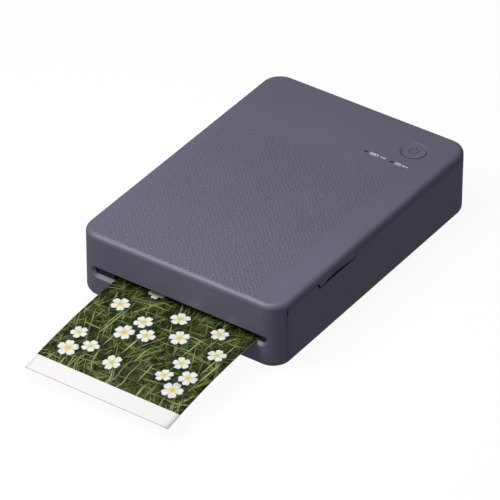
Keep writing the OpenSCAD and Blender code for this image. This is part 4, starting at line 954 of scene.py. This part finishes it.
def ink_bar(signs, x, y, width, height, outline=0.0):
    """A filled rectangle, or the outline of one."""
    corners = bmesh.ops.create_grid(
        signs, x_segments=1, y_segments=1, size=0.5,
        matrix=Matrix.Translation(Vector((x, y, INK_Z)) * MM)
        @ Matrix.Diagonal((width * MM, height * MM, 1, 1)))["verts"]
    if outline:
        middle = corners[0].link_faces[0]
        bmesh.ops.inset_region(signs, faces=[middle], thickness=outline * MM,
                               use_even_offset=True, use_boundary=True)
        bmesh.ops.delete(signs, geom=[middle], context="FACES_ONLY")


def ink_arrow(signs, x, y, radius):
    bmesh.ops.create_circle(signs, cap_ends=True, radius=radius * MM, segments=3,
                            matrix=Matrix.Translation(Vector((x, y, INK_Z)) * MM)
                            @ Matrix.Rotation(math.radians(90), 4, "Z"))


print("ink in mm:", INK_T)

# %% [markdown]
# Rectangles come from a grid of one face, and an inset with its middle taken out makes an outline.
# The arrow's head is a circle of three corners. All faces are then extruded upwards at once.

# %% Lamp signs
SIGN_H, CELL_STEP = 1.5, 0.8
LAMP_SIGNS = {"battery": (18.6, 43.25), "sheet": (31.4, 42.95)}


def battery_sign(signs, x, y):
    """An outline with a knob and three cells, and beside it four growing ticks."""
    ink_bar(signs, x + 1.9, y, 3.8, SIGN_H, OUTLINE)
    ink_bar(signs, x + 4.05, y, 0.3, 0.7)
    for cell in range(3):
        ink_bar(signs, x + 0.85 + CELL_STEP * cell, y, 0.5, 0.75)
    for tick in range(4):
        ink_bar(signs, x + 5.2 + CELL_STEP * tick, y, 0.4, 0.5 + 0.25 * tick)


def sheet_sign(signs, x, y):
    """An outline with a line in it, and an arrow that points to it."""
    ink_bar(signs, x + 1.5, y, 3.0, SIGN_H, OUTLINE)
    ink_bar(signs, x + 1.5, y, 1.8, 0.3)
    ink_arrow(signs, x + 4.2, y, 0.75)
    ink_bar(signs, x + 5.6, y, 1.9, 0.35)


signs = bmesh.new()
battery_sign(signs, *LAMP_SIGNS["battery"])
sheet_sign(signs, *LAMP_SIGNS["sheet"])
raised = bmesh.ops.extrude_face_region(signs, geom=signs.faces[:])["geom"]
bmesh.ops.translate(signs, vec=(0, 0, INK_T * MM),
                    verts=[part for part in raised if isinstance(part, bmesh.types.BMVert)])
bmesh.ops.recalc_face_normals(signs, faces=signs.faces)
lamp_signs = mesh_piece("lamp_signs", signs, [sign_ink()])
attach(lamp_signs, "case")
print("sign faces:", len(lamp_signs.data.polygons))

# %% [markdown]
# ## Every CAD piece gets its finish
#
# The record says which finish each piece takes, so the pieces needn't be listed again here. The
# top cover and the side cover are the exceptions: their slot is the case plastic, and each has its
# own version of it.

# %% Finishes on the CAD pieces
# The side cover's own version carries painted shade along its seam.
OWN_FINISHES = {"top_cover": case_plastic_grained, "cassette_door": side_cover_painted_shade}
for row in frame["record"]["subparts"]:
    piece = frame["nodes"][row["node"]]
    finish = OWN_FINISHES.get(row["node"], finishes[row["material_slot"]])
    if not piece.material_slots:
        piece.data.materials.append(finish)
    for holder in piece.material_slots:
        holder.material = finish

# %% [markdown]
# ## Floor
#
# The studio is a white table. A white floor that is only lit turns grey away from the lights, and a
# strong lamp on it would wash out the printer's dark sides. This table glows by itself, so that it
# stays white and shadows are faint. Its light doesn't reach the printer, as with a table that ends
# just outside the picture. It lies a twentieth of a millimetre below the feet, because two faces in
# the same plane flicker.

# %% Floor
TABLE_R, TABLE_DROP, TABLE_GLOW = 6.0, 0.05, 0.94


def white_table():
    material, tree, shader = new_finish("white_table")
    tone = noise(tree, millimetres(tree), 400.0, 2.0)
    link(tree, mix_colours(tree, tone, (0.06, 0.06, 0.06), (0.065, 0.065, 0.065)),
         shader, "Base Color")
    shader.inputs["Roughness"].default_value = 1.0
    shader.inputs["Specular IOR Level"].default_value = 0.0
    shader.inputs["Emission Color"].default_value = (1, 1, 1, 1)
    shader.inputs["Emission Strength"].default_value = TABLE_GLOW
    return material


table_mesh = bmesh.new()
bmesh.ops.create_circle(table_mesh, cap_ends=True, radius=TABLE_R, segments=96,
                        matrix=Matrix.Translation((0, 0, -TABLE_DROP * MM)))
table_piece = mesh_piece("studio_table", table_mesh, [white_table()])
table_piece.visible_diffuse = False
table_piece.visible_glossy = False
print("table radius in m:", TABLE_R)

# %% [markdown]
# ## Light
#
# One soft light hangs close above the front of the printer, so the top is brighter there than at
# the rear. A larger one at the left front gives the bright line along the rounded front edge, and a
# weak one fills the front corner. Lamps of a point's size would give hard shadows and small sharp
# highlights, so all three are squares of light. The world fills the shadows with an even, slightly
# blue light, and it is a plain pale backdrop where the camera sees it.

# %% Lights
WORLD_FILL = (0.197, 0.196, 0.220)


def softbox(name, towards, distance, size, power, colour=(1, 1, 1)):
    """A square light that looks at the printer from the direction given."""
    data = bpy.data.lights.new(name, "AREA")
    data.size, data.energy, data.color = size, power, colour
    lamp = bpy.data.objects.new(name, data)
    direction = Vector(towards).normalized()
    lamp.location = direction * distance
    lamp.rotation_mode = "QUATERNION"
    lamp.rotation_quaternion = direction.to_track_quat("Z", "Y")
    bpy.context.scene.collection.objects.link(lamp)


softbox("key_light", (-0.05, -0.15, 0.38), 0.32, 0.22, 0.74)
softbox("front_light", (-0.46, -0.55, 0.70), 1.5, 0.4, 7.6, (1.0, 0.98, 0.98))
softbox("corner_light", (0.35, -0.93, 0.12), 2.0, 1.0, 2.6, (1.0, 0.96, 1.0))

world = bpy.data.worlds.new("studio")
world.use_nodes = True
bpy.context.scene.world = world
sky = world.node_tree
fill = sky.nodes["Background"]
fill.inputs["Color"].default_value = (*WORLD_FILL, 1)
backdrop = add_node(sky, "ShaderNodeBackground", {"Color": (0.97, 0.97, 0.97, 1)})
seen = add_node(sky, "ShaderNodeLightPath").outputs["Is Camera Ray"]
blend = add_node(sky, "ShaderNodeMixShader", {
    0: seen, 1: fill.outputs[0], 2: backdrop.outputs[0]})
sky.links.new(blend.outputs[0], sky.nodes["World Output"].inputs["Surface"])
